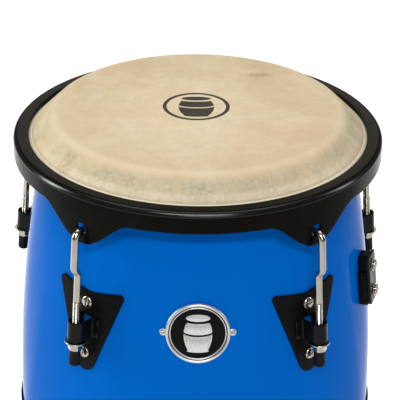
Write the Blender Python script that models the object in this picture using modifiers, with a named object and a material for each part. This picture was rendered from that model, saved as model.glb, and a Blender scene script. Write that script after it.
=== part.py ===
"""A conga drum: wooden shell, animal-skin head on a flesh hoop, steel tuning rim with five
hook lugs, side plates with their lug sleeves and bolts, reinforcing bands, a rubber base ring,
a badge, and a bracket for a stand. Metres, +Z up. The origin is on the drum's axis, on the floor.
The badge side is the front and faces -Y."""

import math

import bmesh
import bpy
from mathutils import Matrix, Vector

MM = 0.001

# ---- driving dimensions, in millimetres -------------------------------------------------
HEIGHT = 711.0          # floor to playing surface (28 inches)
GAP = 0.3               # clearance between pieces that touch
SEGMENTS = 40           # sides of every large turned piece, a multiple of the lug count

BELLY_R = 172.6         # largest outer radius of the shell
BELLY_Z = -318.0        # its height below the playing surface
UPPER_CURVE = 3.72e-4   # the shell's outer radius falls by this times the square of the distance
FOOT_R = 112.0          # outer radius at the bottom of the shell
WALL = 11.5             # shell wall
SHELL_BOTTOM = -HEIGHT + 6.5

SKIN = 1.5              # head thickness
EDGE_CORNER_R = 131.4   # where the flat head and its sloping collar would meet
EDGE_ROUND = 9.0        # radius over the bearing edge, on the head's outer side
HOOP_R, HOOP_Z = 150.8, -25.9   # flesh hoop centre line
HOOP_WIRE = 3.2         # flesh hoop radius

LUGS = 5
FIRST_LUG = 36.0        # degrees from the front
RIM_R = 167.7           # outer radius of the rim's wall
RIM_LIP_R = 153.8       # inner edge of its top flange
RIM_STEEL = 3.0
RIM_TOP = -18.3
RIM_WALL_BOTTOM = -38.0
EAR_DROP = 27.0         # the ears hang this far below the wall's edge
EAR_HALF = 16.0         # degrees, half the width of an ear at its root
EAR_HOLE = (10.0, -45.5, -56.3)  # width, top and bottom of the hook's hole

TILT = 5.7              # degrees, the lugs lean out going down, along the shell
LUG_R, LUG_Z = 177.8, -136.4    # the lug's axis at the top of its sleeve
ROD_R = 3.175           # quarter-inch rod
SLEEVE_LENGTH = 19.2
SLEEVE_IN, SLEEVE_OUT = 5.7, 7.2
WASHER_R, WASHER_T = 9.3, 1.5
NUT_FLATS, NUT_H = 11.1, 6.6
CAP_R, CAP_H = 5.2, 15.4

PLATE = 2.0             # side plate thickness
PLATE_BOLTS = (-125.5, -174.0)
BOLT_R = 3.0

BAND = 1.6              # steel band thickness
BELLY_BAND = (-303.0, -333.0)
FOOT_BAND = (-668.0, -690.0)

BADGE_Z, BADGE_R = -137.5, 28.3
BRACKET_ANGLE = 70.0
BRACKET_TOP, BRACKET_BOTTOM = -120.0, -167.6
BRACKET_BOLTS = (-131.0, -156.6)


# ---- small tools -----------------------------------------------------------------------
for old in list(bpy.data.objects):
    bpy.data.objects.remove(old, do_unlink=True)

PARTS = bpy.data.collections.new("conga_drum")
CUTTERS = bpy.data.collections.new("cutters")
bpy.context.scene.collection.children.link(PARTS)
bpy.context.scene.collection.children.link(CUTTERS)


def material(name, colour, roughness, metallic=0.0):
    m = bpy.data.materials.new(name)
    m.use_nodes = True
    b = m.node_tree.nodes["Principled BSDF"]
    b.inputs["Base Color"].default_value = (*colour, 1.0)
    b.inputs["Roughness"].default_value = roughness
    b.inputs["Metallic"].default_value = metallic
    m.diffuse_color = (*colour, 1.0)
    return m


BLUE = material("blue_lacquer", (0.0, 0.12, 0.58), 0.18)
SKIN_MAT = material("rawhide", (0.73, 0.61, 0.4), 0.6)
BLACK = material("black_powder_coat", (0.012, 0.012, 0.013), 0.42)
NICKEL = material("nickel_plate", (0.62, 0.6, 0.56), 0.22, 1.0)
STEEL = material("bare_steel", (0.4, 0.4, 0.4), 0.4, 1.0)
RUBBER = material("black_rubber", (0.015, 0.015, 0.015), 0.75)
SILVER = material("badge_silver", (0.75, 0.75, 0.75), 0.25, 1.0)


def add(name, mesh, mat=None, matrix=None, collection=None):
    o = bpy.data.objects.new(name, mesh)
    (collection or PARTS).objects.link(o)
    if matrix is not None:
        o.matrix_world = matrix
    if mat is not None and not mesh.materials:
        mesh.materials.append(mat)
    return o


def evaluated(o):
    """The object's mesh with its modifiers, as new data."""
    bpy.context.view_layer.update()
    graph = bpy.context.evaluated_depsgraph_get()
    return bpy.data.meshes.new_from_object(o.evaluated_get(graph))


def mesh_from(name, bm, angle=35.0):
    mesh = bpy.data.meshes.new(name)
    bmesh.ops.recalc_face_normals(bm, faces=bm.faces)
    bm.to_mesh(mesh)
    bm.free()
    mesh.shade_smooth()
    mesh.set_sharp_from_angle(angle=math.radians(angle))
    return mesh


def turned(name, profile, mat, steps=SEGMENTS, closed=True, matrix=Matrix.Translation((0, 0, HEIGHT * MM)), collection=None):
    """A profile of (radius, height) in millimetres, turned round Z. It runs down the outer side."""
    mesh = bpy.data.meshes.new(name)
    points = [(r * MM, 0.0, z * MM) for r, z in profile]
    edges = [(i, i + 1) for i in range(len(points) - 1)]
    if closed:
        edges.append((len(points) - 1, 0))
    mesh.from_pydata(points, edges, [])
    o = add(name, mesh, mat, matrix, collection)
    s = o.modifiers.new("Screw", "SCREW")
    s.axis, s.angle = "Z", math.radians(360)
    s.steps = s.render_steps = steps
    s.use_merge_vertices, s.merge_threshold = True, 1e-6
    s.use_normal_calculate = False
    s.use_smooth_shade = True
    return o


def settled(o, angle=35.0):
    """Replaces an object's modifiers by their result, so that copies can share it."""
    mesh = evaluated(o)
    mesh.name = o.name
    mesh.shade_smooth()
    mesh.set_sharp_from_angle(angle=math.radians(angle))
    old = o.data
    o.modifiers.clear()
    o.data = mesh
    bpy.data.meshes.remove(old)
    return o


def cutter(o):
    for c in list(o.users_collection):
        c.objects.unlink(o)
    CUTTERS.objects.link(o)
    o.hide_render, o.display_type = True, "WIRE"
    return o


def cut(o, tool):
    m = o.modifiers.new("Cut", "BOOLEAN")
    m.operation, m.object, m.solver = "DIFFERENCE", tool, "EXACT"


def join(o, tool):
    m = o.modifiers.new("Join", "BOOLEAN")
    m.operation, m.object, m.solver = "UNION", tool, "EXACT"


def rod(name, radius, length, matrix, sides=12, mat=None):
    """A cylinder along its own Z, centred on the matrix's origin."""
    bm = bmesh.new()
    bmesh.ops.create_cone(bm, cap_ends=True, segments=sides, radius1=radius * MM, radius2=radius * MM, depth=length * MM)
    return add(name, mesh_from(name, bm), mat, matrix)


def box(name, size, matrix, mat=None, bevel=0.0):
    bm = bmesh.new()
    bmesh.ops.create_cube(bm, size=1.0)
    bmesh.ops.scale(bm, vec=Vector(size) * MM, verts=bm.verts)
    o = add(name, mesh_from(name, bm), mat, matrix)
    if bevel:
        b = o.modifiers.new("Bevel", "BEVEL")
        b.width, b.segments, b.limit_method = bevel * MM, 2, "ANGLE"
    return o


def arc(centre, radius, start, end, steps):
    """Points round an arc, angles in degrees, 0 along +r and 90 along +z."""
    return [
        (
            centre[0] + radius * math.cos(math.radians(start + (end - start) * i / steps)),
            centre[1] + radius * math.sin(math.radians(start + (end - start) * i / steps)),
        )
        for i in range(steps + 1)
    ]


def shell_r(z):
    """Outer radius of the shell at a height below the playing surface, in millimetres."""
    if z >= BELLY_Z:
        return BELLY_R - UPPER_CURVE * (z - BELLY_Z) ** 2
    t = (BELLY_Z - z) / (BELLY_Z + HEIGHT)
    return BELLY_R - (BELLY_R - FOOT_R) * t * t * (1.25 - 0.25 * t)


def shell_slope(z):
    """Angle of the shell's outer normal above the horizontal, in degrees."""
    return math.degrees(math.atan2(shell_r(z - 0.5) - shell_r(z + 0.5), 1.0))


def station(angle):
    """Turns the front of the drum to a lug or bracket position, and lifts it to the playing surface."""
    return Matrix.Rotation(math.radians(angle), 4, "Z") @ Matrix.Translation((0, 0, HEIGHT * MM))


def on_shell(angle, z, lift=0.0):
    """A frame on the shell's outer surface: +Z is the outward normal, +Y up along the shell."""
    slope = math.radians(shell_slope(z))
    out = Vector((0, -math.cos(slope), math.sin(slope)))
    up = Vector((0, math.sin(slope), math.cos(slope)))
    side = up.cross(out)
    m = Matrix((side, up, out)).transposed().to_4x4()
    m.translation = Vector((0, -shell_r(z), z)) * MM + out * lift * MM
    return station(angle) @ m


def lug_frame(angle):
    """The lug's own frame: +Z up its axis, -Y outward, origin at the top of the sleeve."""
    return station(angle) @ Matrix.Translation((0, -LUG_R * MM, LUG_Z * MM)) @ Matrix.Rotation(-math.radians(TILT), 4, "X")


ANGLES = [FIRST_LUG + 360.0 / LUGS * k for k in range(LUGS)]

# ---- the skin's section: flat, over the bearing edge, down the collar, round the hoop -----
wrap_r = HOOP_WIRE + GAP + SKIN                      # the skin's outer radius round the hoop
low = 0.0
for _ in range(40):                                  # the collar's slope touches the wrap
    touch = (HOOP_R + wrap_r * math.sin(low), HOOP_Z + wrap_r * math.cos(low))
    low = math.atan2(-touch[1], touch[0] - EDGE_CORNER_R)
SLOPE = math.degrees(low)
edge_c = EDGE_CORNER_R - EDGE_ROUND * math.tan(low / 2)   # centre of the round over the edge


def over_edge(offset, steps=5, until=SLOPE):
    """The round over the bearing edge, this far inside the skin's outer side, from flat to sloping."""
    return arc((edge_c, -EDGE_ROUND), EDGE_ROUND - offset, 90, 90 - until, steps)


def along_slope(distance, offset):
    """A point down the collar, measured from the end of the round."""
    r, z = over_edge(offset)[-1]
    return (r + distance * math.cos(low), z - distance * math.sin(low))


# ---- shell -----------------------------------------------------------------------------
inside = SKIN + GAP
edge = over_edge(inside, 4)
outer = [edge[-1]]
shoulder_z = -15.0
a, c = edge[-1], (shell_r(shoulder_z), shoulder_z)   # a soft shoulder: leaves along the skin's slope, ends along the wall
b = (c[0] - 0.6, a[1] - (c[0] - 0.6 - a[0]) * math.tan(low))
for i in range(1, 5):
    t = i / 4
    outer.append(tuple((1 - t) ** 2 * a[k] + 2 * t * (1 - t) * b[k] + t * t * c[k] for k in (0, 1)))
top = outer[-1][1]
stations = 10
for i in range(1, stations + 1):
    z = top + (SHELL_BOTTOM - top) * i / stations
    outer.append((shell_r(z), z))
inner = [(shell_r(z) - WALL, z) for z in (SHELL_BOTTOM + (top - 14.0 - SHELL_BOTTOM) * i / stations for i in range(stations + 1))]
profile = edge[:-1] + outer + inner + [(edge_c - 1.5, -inside - 2.0)]
shell = turned("shell", profile, BLUE)

# ---- bands and base ring ---------------------------------------------------------------


def band(name, span, rows):
    zs = [span[0] + (span[1] - span[0]) * i / rows for i in range(rows + 1)]
    out = [(shell_r(z) + GAP + BAND, z) for z in zs]
    inn = [(shell_r(z) + GAP, z) for z in reversed(zs)]
    return turned(name, out + inn, BLACK)


band("belly_band", BELLY_BAND, 1)
band("foot_band", FOOT_BAND, 1)

foot = SHELL_BOTTOM - GAP
turned(
    "base_ring",
    [(shell_r(foot + 10) + GAP, foot + 10), (shell_r(foot + 9) + 3.0, foot + 9), (shell_r(foot) + 3.2, foot + 0.5), (FOOT_R + 2.2, -HEIGHT), (FOOT_R - WALL - 1.5, -HEIGHT),
     (FOOT_R - WALL - 2.5, -HEIGHT + 1.0), (shell_r(foot + 7) - WALL - GAP - 2.5, foot + 7), (shell_r(foot + 7.5) - WALL - GAP, foot + 7.5),
     (shell_r(foot) - WALL - GAP, foot), (shell_r(foot) + GAP, foot)],
    RUBBER,
)

# ---- drumhead: the flat skin and its collar round the hoop --------------------------------
split = 1.2                                          # the two halves of the skin meet just past the round
flat_top = [(0.0, 0.0)] + over_edge(0.0, 4) + [along_slope(split, 0.0)]
flat_under = [along_slope(split, SKIN)] + over_edge(SKIN, 4)[::-1] + [(0.0, -SKIN)]
turned("drumhead", flat_top + flat_under, SKIN_MAT, closed=False)

touch_angle = 90 - SLOPE
collar = [along_slope(split + GAP, 0.0)]
collar += arc((HOOP_R, HOOP_Z), wrap_r, touch_angle, -150, 6)
collar += arc((HOOP_R, HOOP_Z), wrap_r - SKIN, -150, touch_angle, 5)
collar += [along_slope(split + GAP, SKIN)]
turned("head_collar", collar, SKIN_MAT)

# ---- flesh hoop -------------------------------------------------------------------------
bpy.ops.mesh.primitive_torus_add(major_segments=SEGMENTS, minor_segments=6, major_radius=HOOP_R * MM, minor_radius=HOOP_WIRE * MM, location=(0, 0, (HEIGHT + HOOP_Z) * MM))
hoop = bpy.context.object
hoop.name = "flesh_hoop"
hoop.data.materials.append(STEEL)
hoop.data.shade_smooth()
for c in list(hoop.users_collection):
    c.objects.unlink(hoop)
PARTS.objects.link(hoop)

# ---- rim: an L section swept round, its wall deeper at the five ears ----------------------


def smooth(t):
    t = max(0.0, min(1.0, t))
    return t * t * (3 - 2 * t)


def wall_bottom(angle):
    """Height of the rim's lower edge at an angle from the front: level, then down into an ear."""
    off = min(abs((angle - a + 180) % 360 - 180) for a in ANGLES)
    if off >= EAR_HALF:
        return RIM_WALL_BOTTOM
    t = 1 - off / EAR_HALF
    flank = smooth(t / 0.86) if t < 0.86 else 1.0
    round_tip = math.sqrt(max(0.0, 1 - ((off / 3.6) ** 2))) if off < 3.6 else 0.0
    return RIM_WALL_BOTTOM - (EAR_DROP - 2.6) * flank - 2.6 * round_tip


ear_columns = [-16.0, -13.5, -11.0, -8.5, -6.0, -3.8, -2.0, 0.0, 2.0, 3.8, 6.0, 8.5, 11.0, 13.5, 16.0]
columns = []
for a in ANGLES:
    columns += [a + c for c in ear_columns] + [a + EAR_HALF + (72 - 2 * EAR_HALF) * i / 5 for i in range(1, 5)]


def rim_section(angle):
    bottom = wall_bottom(angle)
    out = [(RIM_LIP_R, RIM_TOP - 0.9), (RIM_LIP_R + 1.2, RIM_TOP)]
    out += arc((RIM_R - 4.8, RIM_TOP - 4.8), 4.8, 90, 0, 3)
    out += [(RIM_R, -36.0), (RIM_R, bottom), (RIM_R - RIM_STEEL, bottom), (RIM_R - RIM_STEEL, -36.0)]
    out += arc((RIM_R - 4.8, RIM_TOP - 4.8), 4.8 - RIM_STEEL, 0, 90, 1)
    out += [(RIM_LIP_R, RIM_TOP - RIM_STEEL)]
    return out


bm = bmesh.new()
rings = []
for a in columns:
    t = math.radians(a)
    rings.append([bm.verts.new((r * MM * math.sin(t), -r * MM * math.cos(t), z * MM)) for r, z in rim_section(a)])
for i in range(len(rings)):
    one, two = rings[i], rings[(i + 1) % len(rings)]
    for k in range(len(one)):
        n = (k + 1) % len(one)
        bm.faces.new((one[k], one[n], two[n], two[k]))
rim = add("rim", mesh_from("rim", bm), BLACK, Matrix.Translation((0, 0, HEIGHT * MM)))
for k, a in enumerate(ANGLES):
    width, hi, lo = EAR_HOLE
    hole = cutter(box(f"ear_hole_{k + 1}", (width, 20, hi - lo), station(a) @ Matrix.Translation((0, -RIM_R * MM, (hi + lo) / 2 * MM)), bevel=3.0))
    cut(rim, hole)

# ---- side plate: a flat outline bent round the shell, a window behind the sleeve ----------


def filleted(corners, steps=4):
    """A closed outline from (x, z, radius) corners, each rounded."""
    out = []
    n = len(corners)
    for i, (x, z, r) in enumerate(corners):
        p = Vector((x, z))
        a = (Vector(corners[i - 1][:2]) - p).normalized()
        b = (Vector(corners[(i + 1) % n][:2]) - p).normalized()
        if not r:
            out.append(p)
            continue
        half = a.angle(b) / 2
        reach = r / math.tan(half)
        c = p + (a + b).normalized() * (r / math.sin(half))
        v0, v1 = (p + a * reach) - c, (p + b * reach) - c
        turn = v0.angle_signed(v1)
        for k in range(steps + 1):
            t = -turn * k / steps
            out.append(c + Vector((v0.x * math.cos(t) - v0.y * math.sin(t), v0.x * math.sin(t) + v0.y * math.cos(t))))
    return out


def bent_sheet(name, outline, mat, lift, thickness, columns_mm):
    """A flat outline in (arc length, height), cut into columns, bent to the shell and thickened outward."""
    bm = bmesh.new()
    bm.faces.new([bm.verts.new((p[0], p[1], 0.0)) for p in outline])
    for x in columns_mm:
        geom = bm.verts[:] + bm.edges[:] + bm.faces[:]
        bmesh.ops.bisect_plane(bm, geom=geom, plane_co=(x, 0, 0), plane_no=(1, 0, 0), dist=1e-4)
    for z in (-140.0, -165.0):
        geom = bm.verts[:] + bm.edges[:] + bm.faces[:]
        bmesh.ops.bisect_plane(bm, geom=geom, plane_co=(0, z, 0), plane_no=(0, 1, 0), dist=1e-4)
    for v in bm.verts:
        x, z = v.co.x, v.co.y
        r = shell_r(z) + lift
        t = x / (shell_r(-150.0) + lift)
        v.co = Vector((r * math.sin(t), -r * math.cos(t), z)) * MM
    mesh = bpy.data.meshes.new(name)
    bm.to_mesh(mesh)
    bm.free()
    if mesh.polygons[0].normal.y > 0:
        mesh.flip_normals()
    o = add(name, mesh, mat)
    s = o.modifiers.new("Solidify", "SOLIDIFY")
    s.thickness, s.offset = thickness * MM, 1.0
    return o


side = 0.3775
corner_x = 37.3
plate_outline = filleted(
    [
        (0.0, -116.8, 30.0),
        (corner_x, -116.8 + 0.165 * corner_x, 3.6),
        (0.0, -209.5, 9.3),
        (-corner_x, -116.8 + 0.165 * corner_x, 3.6),
    ]
)
proto = bent_sheet("side_plate", plate_outline, BLACK, GAP, PLATE, [-24, -14, -5, 5, 14, 24])
base = Matrix.Translation((0, 0, -HEIGHT * MM))
for i, z in enumerate(PLATE_BOLTS):
    cut(proto, cutter(rod(f"plate_hole_{i}", BOLT_R + GAP, 30, base @ on_shell(0, z), 10)))
cut(proto, cutter(box("plate_window", (10.4, 40, 22), Matrix.Translation((0, -162 * MM, -149.5 * MM)), bevel=2.0)))
settled(proto)
for k, a in enumerate(ANGLES):
    add(f"side_plate_{k + 1}", proto.data, None, station(a))
bpy.data.objects.remove(proto)

# ---- lug sleeve: a strap folded to a U round the rod, its two feet welded to the plate -----


def foot_depth(u, s):
    """How far in (negative) from the rod's axis the side plate's outer face is, at this width and height."""
    tilt = math.radians(TILT)
    v = -14.0
    for _ in range(6):
        z = LUG_Z + s * math.cos(tilt) + v * math.sin(tilt)
        want = math.sqrt((shell_r(z) + GAP + PLATE + GAP) ** 2 - u * u)
        v += (want - (LUG_R - s * math.sin(tilt) + v * math.cos(tilt))) / math.cos(tilt)
    return v


def sleeve_section(s):
    t, wide = SLEEVE_OUT - SLEEVE_IN, 14.0
    right = [(wide, foot_depth(wide, s) + t), (SLEEVE_OUT + 1.2, foot_depth(SLEEVE_OUT, s) + t), (SLEEVE_OUT, foot_depth(SLEEVE_OUT, s) + t + 1.2)]
    out = right + arc((0, 0), SLEEVE_OUT, 0, 180, 8) + [(-x, v) for x, v in reversed(right)]
    inn = [(SLEEVE_IN, foot_depth(SLEEVE_IN, s) + 1.2), (SLEEVE_IN + 1.2, foot_depth(SLEEVE_IN, s)), (wide, foot_depth(wide, s))]
    return out + [(-x, v) for x, v in reversed(inn)] + arc((0, 0), SLEEVE_IN, 180, 0, 8) + inn


bm = bmesh.new()
rings = []
for i in range(4):
    s = -SLEEVE_LENGTH * i / 3
    rings.append([bm.verts.new((u * MM, -v * MM, s * MM)) for u, v in sleeve_section(s)])
for one, two in zip(rings, rings[1:]):
    for k in range(len(one)):
        n = (k + 1) % len(one)
        bm.faces.new((one[k], one[n], two[n], two[k]))
bm.faces.new(rings[0])
bm.faces.new(rings[-1][::-1])
sleeve_mesh = mesh_from("lug_sleeve", bm)
sleeve_mesh.materials.append(BLACK)
for k, a in enumerate(ANGLES):
    add(f"lug_sleeve_{k + 1}", sleeve_mesh, None, lug_frame(a))

# ---- side plate bolts, each with its washer and nut inside the shell ----------------------
grip = GAP + PLATE + GAP                             # from the shell's face to under the head
inner_face = -(WALL + 1.7)
bolt_profile = [
    (0.0, grip + 3.4), (3.2, grip + 3.1), (5.0, grip + 1.8), (5.4, grip), (BOLT_R, grip),
    (BOLT_R, inner_face), (8.0, inner_face), (8.0, inner_face - 1.4), (5.2, inner_face - 1.4),
    (5.2, inner_face - 6.0), (BOLT_R - 0.4, inner_face - 6.0), (BOLT_R - 0.4, inner_face - 8.0), (0.0, inner_face - 8.0),
]
proto = settled(turned("side_plate_bolt", bolt_profile, NICKEL, steps=8, closed=False))
for k, a in enumerate(ANGLES):
    for z, where in zip(PLATE_BOLTS, ("upper", "lower")):
        add(f"side_plate_bolt_{where}_{k + 1}", proto.data, None, on_shell(a, z))
        cut(shell, cutter(rod(f"shell_hole_{where}_{k + 1}", BOLT_R + GAP, 40, on_shell(a, z), 10)))
bpy.data.objects.remove(proto)

# ---- lugs: washer and nut under the sleeve, the hooked rod, its end cap -------------------
washer_top = -SLEEVE_LENGTH - GAP
proto = settled(turned("lug_washer", [(WASHER_R, washer_top), (WASHER_R, washer_top - WASHER_T), (ROD_R + GAP, washer_top - WASHER_T), (ROD_R + GAP, washer_top)], NICKEL, steps=16))
washer_mesh = proto.data
bpy.data.objects.remove(proto)

nut_top = washer_top - WASHER_T - GAP
bm = bmesh.new()
bmesh.ops.create_cone(bm, cap_ends=True, segments=6, radius1=NUT_FLATS / math.sqrt(3) * MM, radius2=NUT_FLATS / math.sqrt(3) * MM, depth=NUT_H * MM)
nut = add("tuning_nut", mesh_from("tuning_nut", bm), NICKEL)
cut(nut, cutter(rod("nut_bore", ROD_R + GAP, NUT_H * 2, Matrix.Identity(4), 12)))
nut_mesh = settled(nut).data
bpy.data.objects.remove(nut)
nut_centre = nut_top - NUT_H / 2

cap_top = nut_top - NUT_H - GAP
# the cap is a closed cup: its profile starts and ends on the axis, over the blind bore
cap_profile = [
    (0.0, cap_top - CAP_H + 3.0), (ROD_R + GAP, cap_top - CAP_H + 3.0), (ROD_R + GAP, cap_top), (CAP_R - 0.4, cap_top), (CAP_R, cap_top - 0.6),
    (CAP_R, cap_top - CAP_H + 3.4), (CAP_R - 1.6, cap_top - CAP_H + 0.9), (0.0, cap_top - CAP_H),
]
proto = settled(turned("lug_cap", cap_profile, RUBBER, steps=12, closed=False))
cap_mesh = proto.data
bpy.data.objects.remove(proto)

S_BEND, BEND_H, KINK = 43.2, 9.0, 5.2                 # start and height of the offset bend, and how far it steps out
HOOK_S = 84.6                                        # height of the hook's crossbar above the sleeve
rod_end = cap_top - CAP_H + 3.0 + GAP
path = [(0.0, rod_end), (0.0, S_BEND)]
path += [(KINK * smooth(i / 6), S_BEND + BEND_H * i / 6) for i in range(1, 7)]
path += [(KINK - 6.0 + 6.0 * math.cos(math.radians(t)), HOOK_S - 6.0 + 6.0 * math.sin(math.radians(t))) for t in range(0, 91, 18)]
path += [(-4.8 - 5.0 * math.sin(math.radians(t)), HOOK_S - 5.0 + 5.0 * math.cos(math.radians(t))) for t in range(0, 91, 18)]
path += [(-9.8, HOOK_S - 5.0 - 4.5)]
curve = bpy.data.curves.new("hook_lug", "CURVE")
curve.dimensions, curve.bevel_depth, curve.bevel_resolution, curve.use_fill_caps = "3D", ROD_R * MM, 2, True
spline = curve.splines.new("POLY")
spline.points.add(len(path) - 1)
for p, (v, s) in zip(spline.points, path):
    p.co = (0.0, -v * MM, s * MM, 1.0)
bent = bpy.data.objects.new("hook_lug", curve)
PARTS.objects.link(bent)
hook_mesh = evaluated(bent)
bm = bmesh.new()
bm.from_mesh(hook_mesh)
bmesh.ops.remove_doubles(bm, verts=bm.verts, dist=1e-6)
hook_mesh = mesh_from("hook_lug", bm)
hook_mesh.materials.clear()
hook_mesh.materials.append(NICKEL)
bpy.data.objects.remove(bent)

for k, a in enumerate(ANGLES):
    f = lug_frame(a)
    add(f"lug_washer_{k + 1}", washer_mesh, None, f)
    add(f"tuning_nut_{k + 1}", nut_mesh, None, f @ Matrix.Translation((0, 0, nut_centre * MM)))
    add(f"hook_lug_{k + 1}", hook_mesh, None, f)
    add(f"lug_cap_{k + 1}", cap_mesh, None, f)

# ---- badge: a ringed plate, a disc in it, two pins ----------------------------------------
seat = on_shell(0, BADGE_Z, 0)

def dished(radius, low, high, rings_n=4, sides=32, inner_r=0.0):
    """A disc whose underside and top follow the shell's curve, between two heights over it."""
    bm = bmesh.new()

    def sag(x, y):
        return -(shell_r(BADGE_Z) - math.sqrt(shell_r(BADGE_Z) ** 2 - x * x)) - UPPER_CURVE * y * y

    layers = []
    for h in (low, high):
        rings = []
        for i in range(rings_n + 1):
            r = inner_r + (radius - inner_r) * i / rings_n
            if r == 0:
                rings.append([bm.verts.new((0, 0, h * MM))])
                continue
            rings.append([bm.verts.new((r * MM * math.cos(2 * math.pi * j / sides), r * MM * math.sin(2 * math.pi * j / sides), (h + sag(r * math.cos(2 * math.pi * j / sides), r * math.sin(2 * math.pi * j / sides))) * MM)) for j in range(sides)])
        layers.append(rings)
        for one, two in zip(rings, rings[1:]):
            for j in range(sides):
                n = (j + 1) % sides
                bm.faces.new((one[0], two[j], two[n]) if len(one) == 1 else (one[j], two[j], two[n], one[n]))
    edges = [(layers[0][-1], layers[1][-1])] + ([(layers[0][0], layers[1][0])] if inner_r else [])
    for a, b in edges:
        for j in range(sides):
            n = (j + 1) % sides
            bm.faces.new((a[j], a[n], b[n], b[j]))
    return bm


add("badge_ring", mesh_from("badge_ring", dished(BADGE_R - 1.3, 1.7, 3.0, 1, 28, 23.2)), SILVER, seat)
plate = add("badge_plate", mesh_from("badge_plate", dished(BADGE_R, GAP + 0.3, 1.4, 2, 28)), BLACK, seat)
for sx, name in ((-1, "badge_pin_left"), (1, "badge_pin_right")):
    x = sx * 29.8
    sag = -(shell_r(BADGE_Z) - math.sqrt(shell_r(BADGE_Z) ** 2 - x * x))
    lean = Matrix.Rotation(math.asin(x / shell_r(BADGE_Z)), 4, "Y")
    at = seat @ Matrix.Translation((x * MM, 0, sag * MM)) @ lean
    join(plate, cutter(rod(f"badge_lobe_{name}", 3.3, 0.8, at @ Matrix.Translation((0, 0, 1.0 * MM)), 12)))
    cut(plate, cutter(rod(f"badge_hole_{name}", 1.2, 20, at, 8)))
    turned(name, [(0.0, 2.9), (1.3, 2.6), (1.8, 1.75), (0.9, 1.75), (0.9, -7.0), (0.0, -7.6)], NICKEL, steps=8, closed=False, matrix=at)
    cut(shell, cutter(rod(f"shell_hole_{name}", 1.2, 18, at, 8)))

# ---- stand bracket: a block on the shell with a slot at its foot, a steel cover, two bolts --
mid = (BRACKET_TOP + BRACKET_BOTTOM) / 2
seat = on_shell(BRACKET_ANGLE, mid)
tall = BRACKET_TOP - BRACKET_BOTTOM


def hugging_block(name, width, low_y, high_y, high_z, mat):
    """A block whose back follows the shell."""
    bm = bmesh.new()
    bmesh.ops.create_grid(bm, x_segments=4, y_segments=4, size=1.0)
    back = list(bm.faces)
    made = bmesh.ops.extrude_face_region(bm, geom=back)
    front = {v for v in made["geom"] if isinstance(v, bmesh.types.BMVert)}
    for v in bm.verts:
        x = v.co.x * width / 2
        y = low_y + (high_y - low_y) * (v.co.y + 1) / 2
        sag = -(shell_r(mid) - math.sqrt(shell_r(mid) ** 2 - x * x)) - UPPER_CURVE * y * y
        v.co = Vector((x, y, high_z if v in front else sag + GAP + 0.25)) * MM
    return add(name, mesh_from(name, bm), mat, seat)


body = hugging_block("bracket_body", 25.0, -tall / 2, tall / 2 - 14.0, 8.0, BLACK)
neck = cutter(hugging_block("bracket_neck", 17.0, tall / 2 - 14.5, tall / 2, 8.0, BLACK))
join(body, neck)
cut(body, cutter(box("bracket_slot", (15.0, 22.0, 20.0), seat @ Matrix.Translation((0, -tall / 2 * MM, 12.2 * MM)), bevel=1.0)))
cover = box("bracket_cover", (23.0, tall, 2.8), seat @ Matrix.Translation((0, 0, 9.7 * MM)), BLACK, bevel=0.9)
backing = box("bracket_backing_plate", (24.0, tall - 8, 2.5), seat @ Matrix.Translation((0, 0, -(WALL + 3.6) * MM)), STEEL, bevel=0.8)
for i, z in enumerate(BRACKET_BOLTS):
    y = (z - mid) / math.cos(math.radians(shell_slope(mid)))
    at = seat @ Matrix.Translation((0, y * MM, 0))
    for o in (body, cover, backing):
        cut(o, cutter(rod(f"{o.name}_hole_{i + 1}", BOLT_R + GAP, 60, at, 10)))
    cut(shell, cutter(rod(f"shell_bracket_hole_{i + 1}", BOLT_R + GAP, 40, at, 10)))
    f = 11.1 + GAP
    turned(f"bracket_washer_{i + 1}", [(5.9, f + 0.9), (5.9, f), (BOLT_R + GAP, f), (BOLT_R + GAP, f + 0.9)], NICKEL, steps=14, matrix=at)
    h, n = f + 0.9 + GAP, -(WALL + 3.6 + 1.25 + GAP)
    turned(
        f"bracket_bolt_{i + 1}",
        [(0.0, h + 2.7), (2.6, h + 2.5), (4.2, h + 1.7), (4.8, h), (BOLT_R, h), (BOLT_R, n), (5.2, n), (5.2, n - 5.0), (BOLT_R - 0.4, n - 5.0), (BOLT_R - 0.4, n - 7.0), (0.0, n - 7.0)],
        NICKEL, steps=10, closed=False, matrix=at,
    )
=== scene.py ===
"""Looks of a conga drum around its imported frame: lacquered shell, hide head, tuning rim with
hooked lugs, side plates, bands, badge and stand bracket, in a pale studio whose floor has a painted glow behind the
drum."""

import math

import bmesh
import bpy
import numpy as np
from mathutils import Matrix, Vector, noise


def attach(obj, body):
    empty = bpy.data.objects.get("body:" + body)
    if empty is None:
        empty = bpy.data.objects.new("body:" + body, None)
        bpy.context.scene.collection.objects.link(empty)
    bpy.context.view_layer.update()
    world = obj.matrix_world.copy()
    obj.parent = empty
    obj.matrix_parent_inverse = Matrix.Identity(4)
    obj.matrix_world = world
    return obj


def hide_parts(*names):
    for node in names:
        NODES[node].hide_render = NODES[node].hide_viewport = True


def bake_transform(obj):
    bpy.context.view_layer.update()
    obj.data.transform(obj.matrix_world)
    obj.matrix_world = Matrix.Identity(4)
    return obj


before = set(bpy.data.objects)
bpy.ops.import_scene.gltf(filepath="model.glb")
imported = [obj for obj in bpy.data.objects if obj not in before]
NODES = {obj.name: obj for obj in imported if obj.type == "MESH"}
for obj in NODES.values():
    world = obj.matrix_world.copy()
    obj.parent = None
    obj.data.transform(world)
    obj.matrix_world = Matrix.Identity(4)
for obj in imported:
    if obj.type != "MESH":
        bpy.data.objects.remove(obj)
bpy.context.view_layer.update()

MM = 0.001

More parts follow.
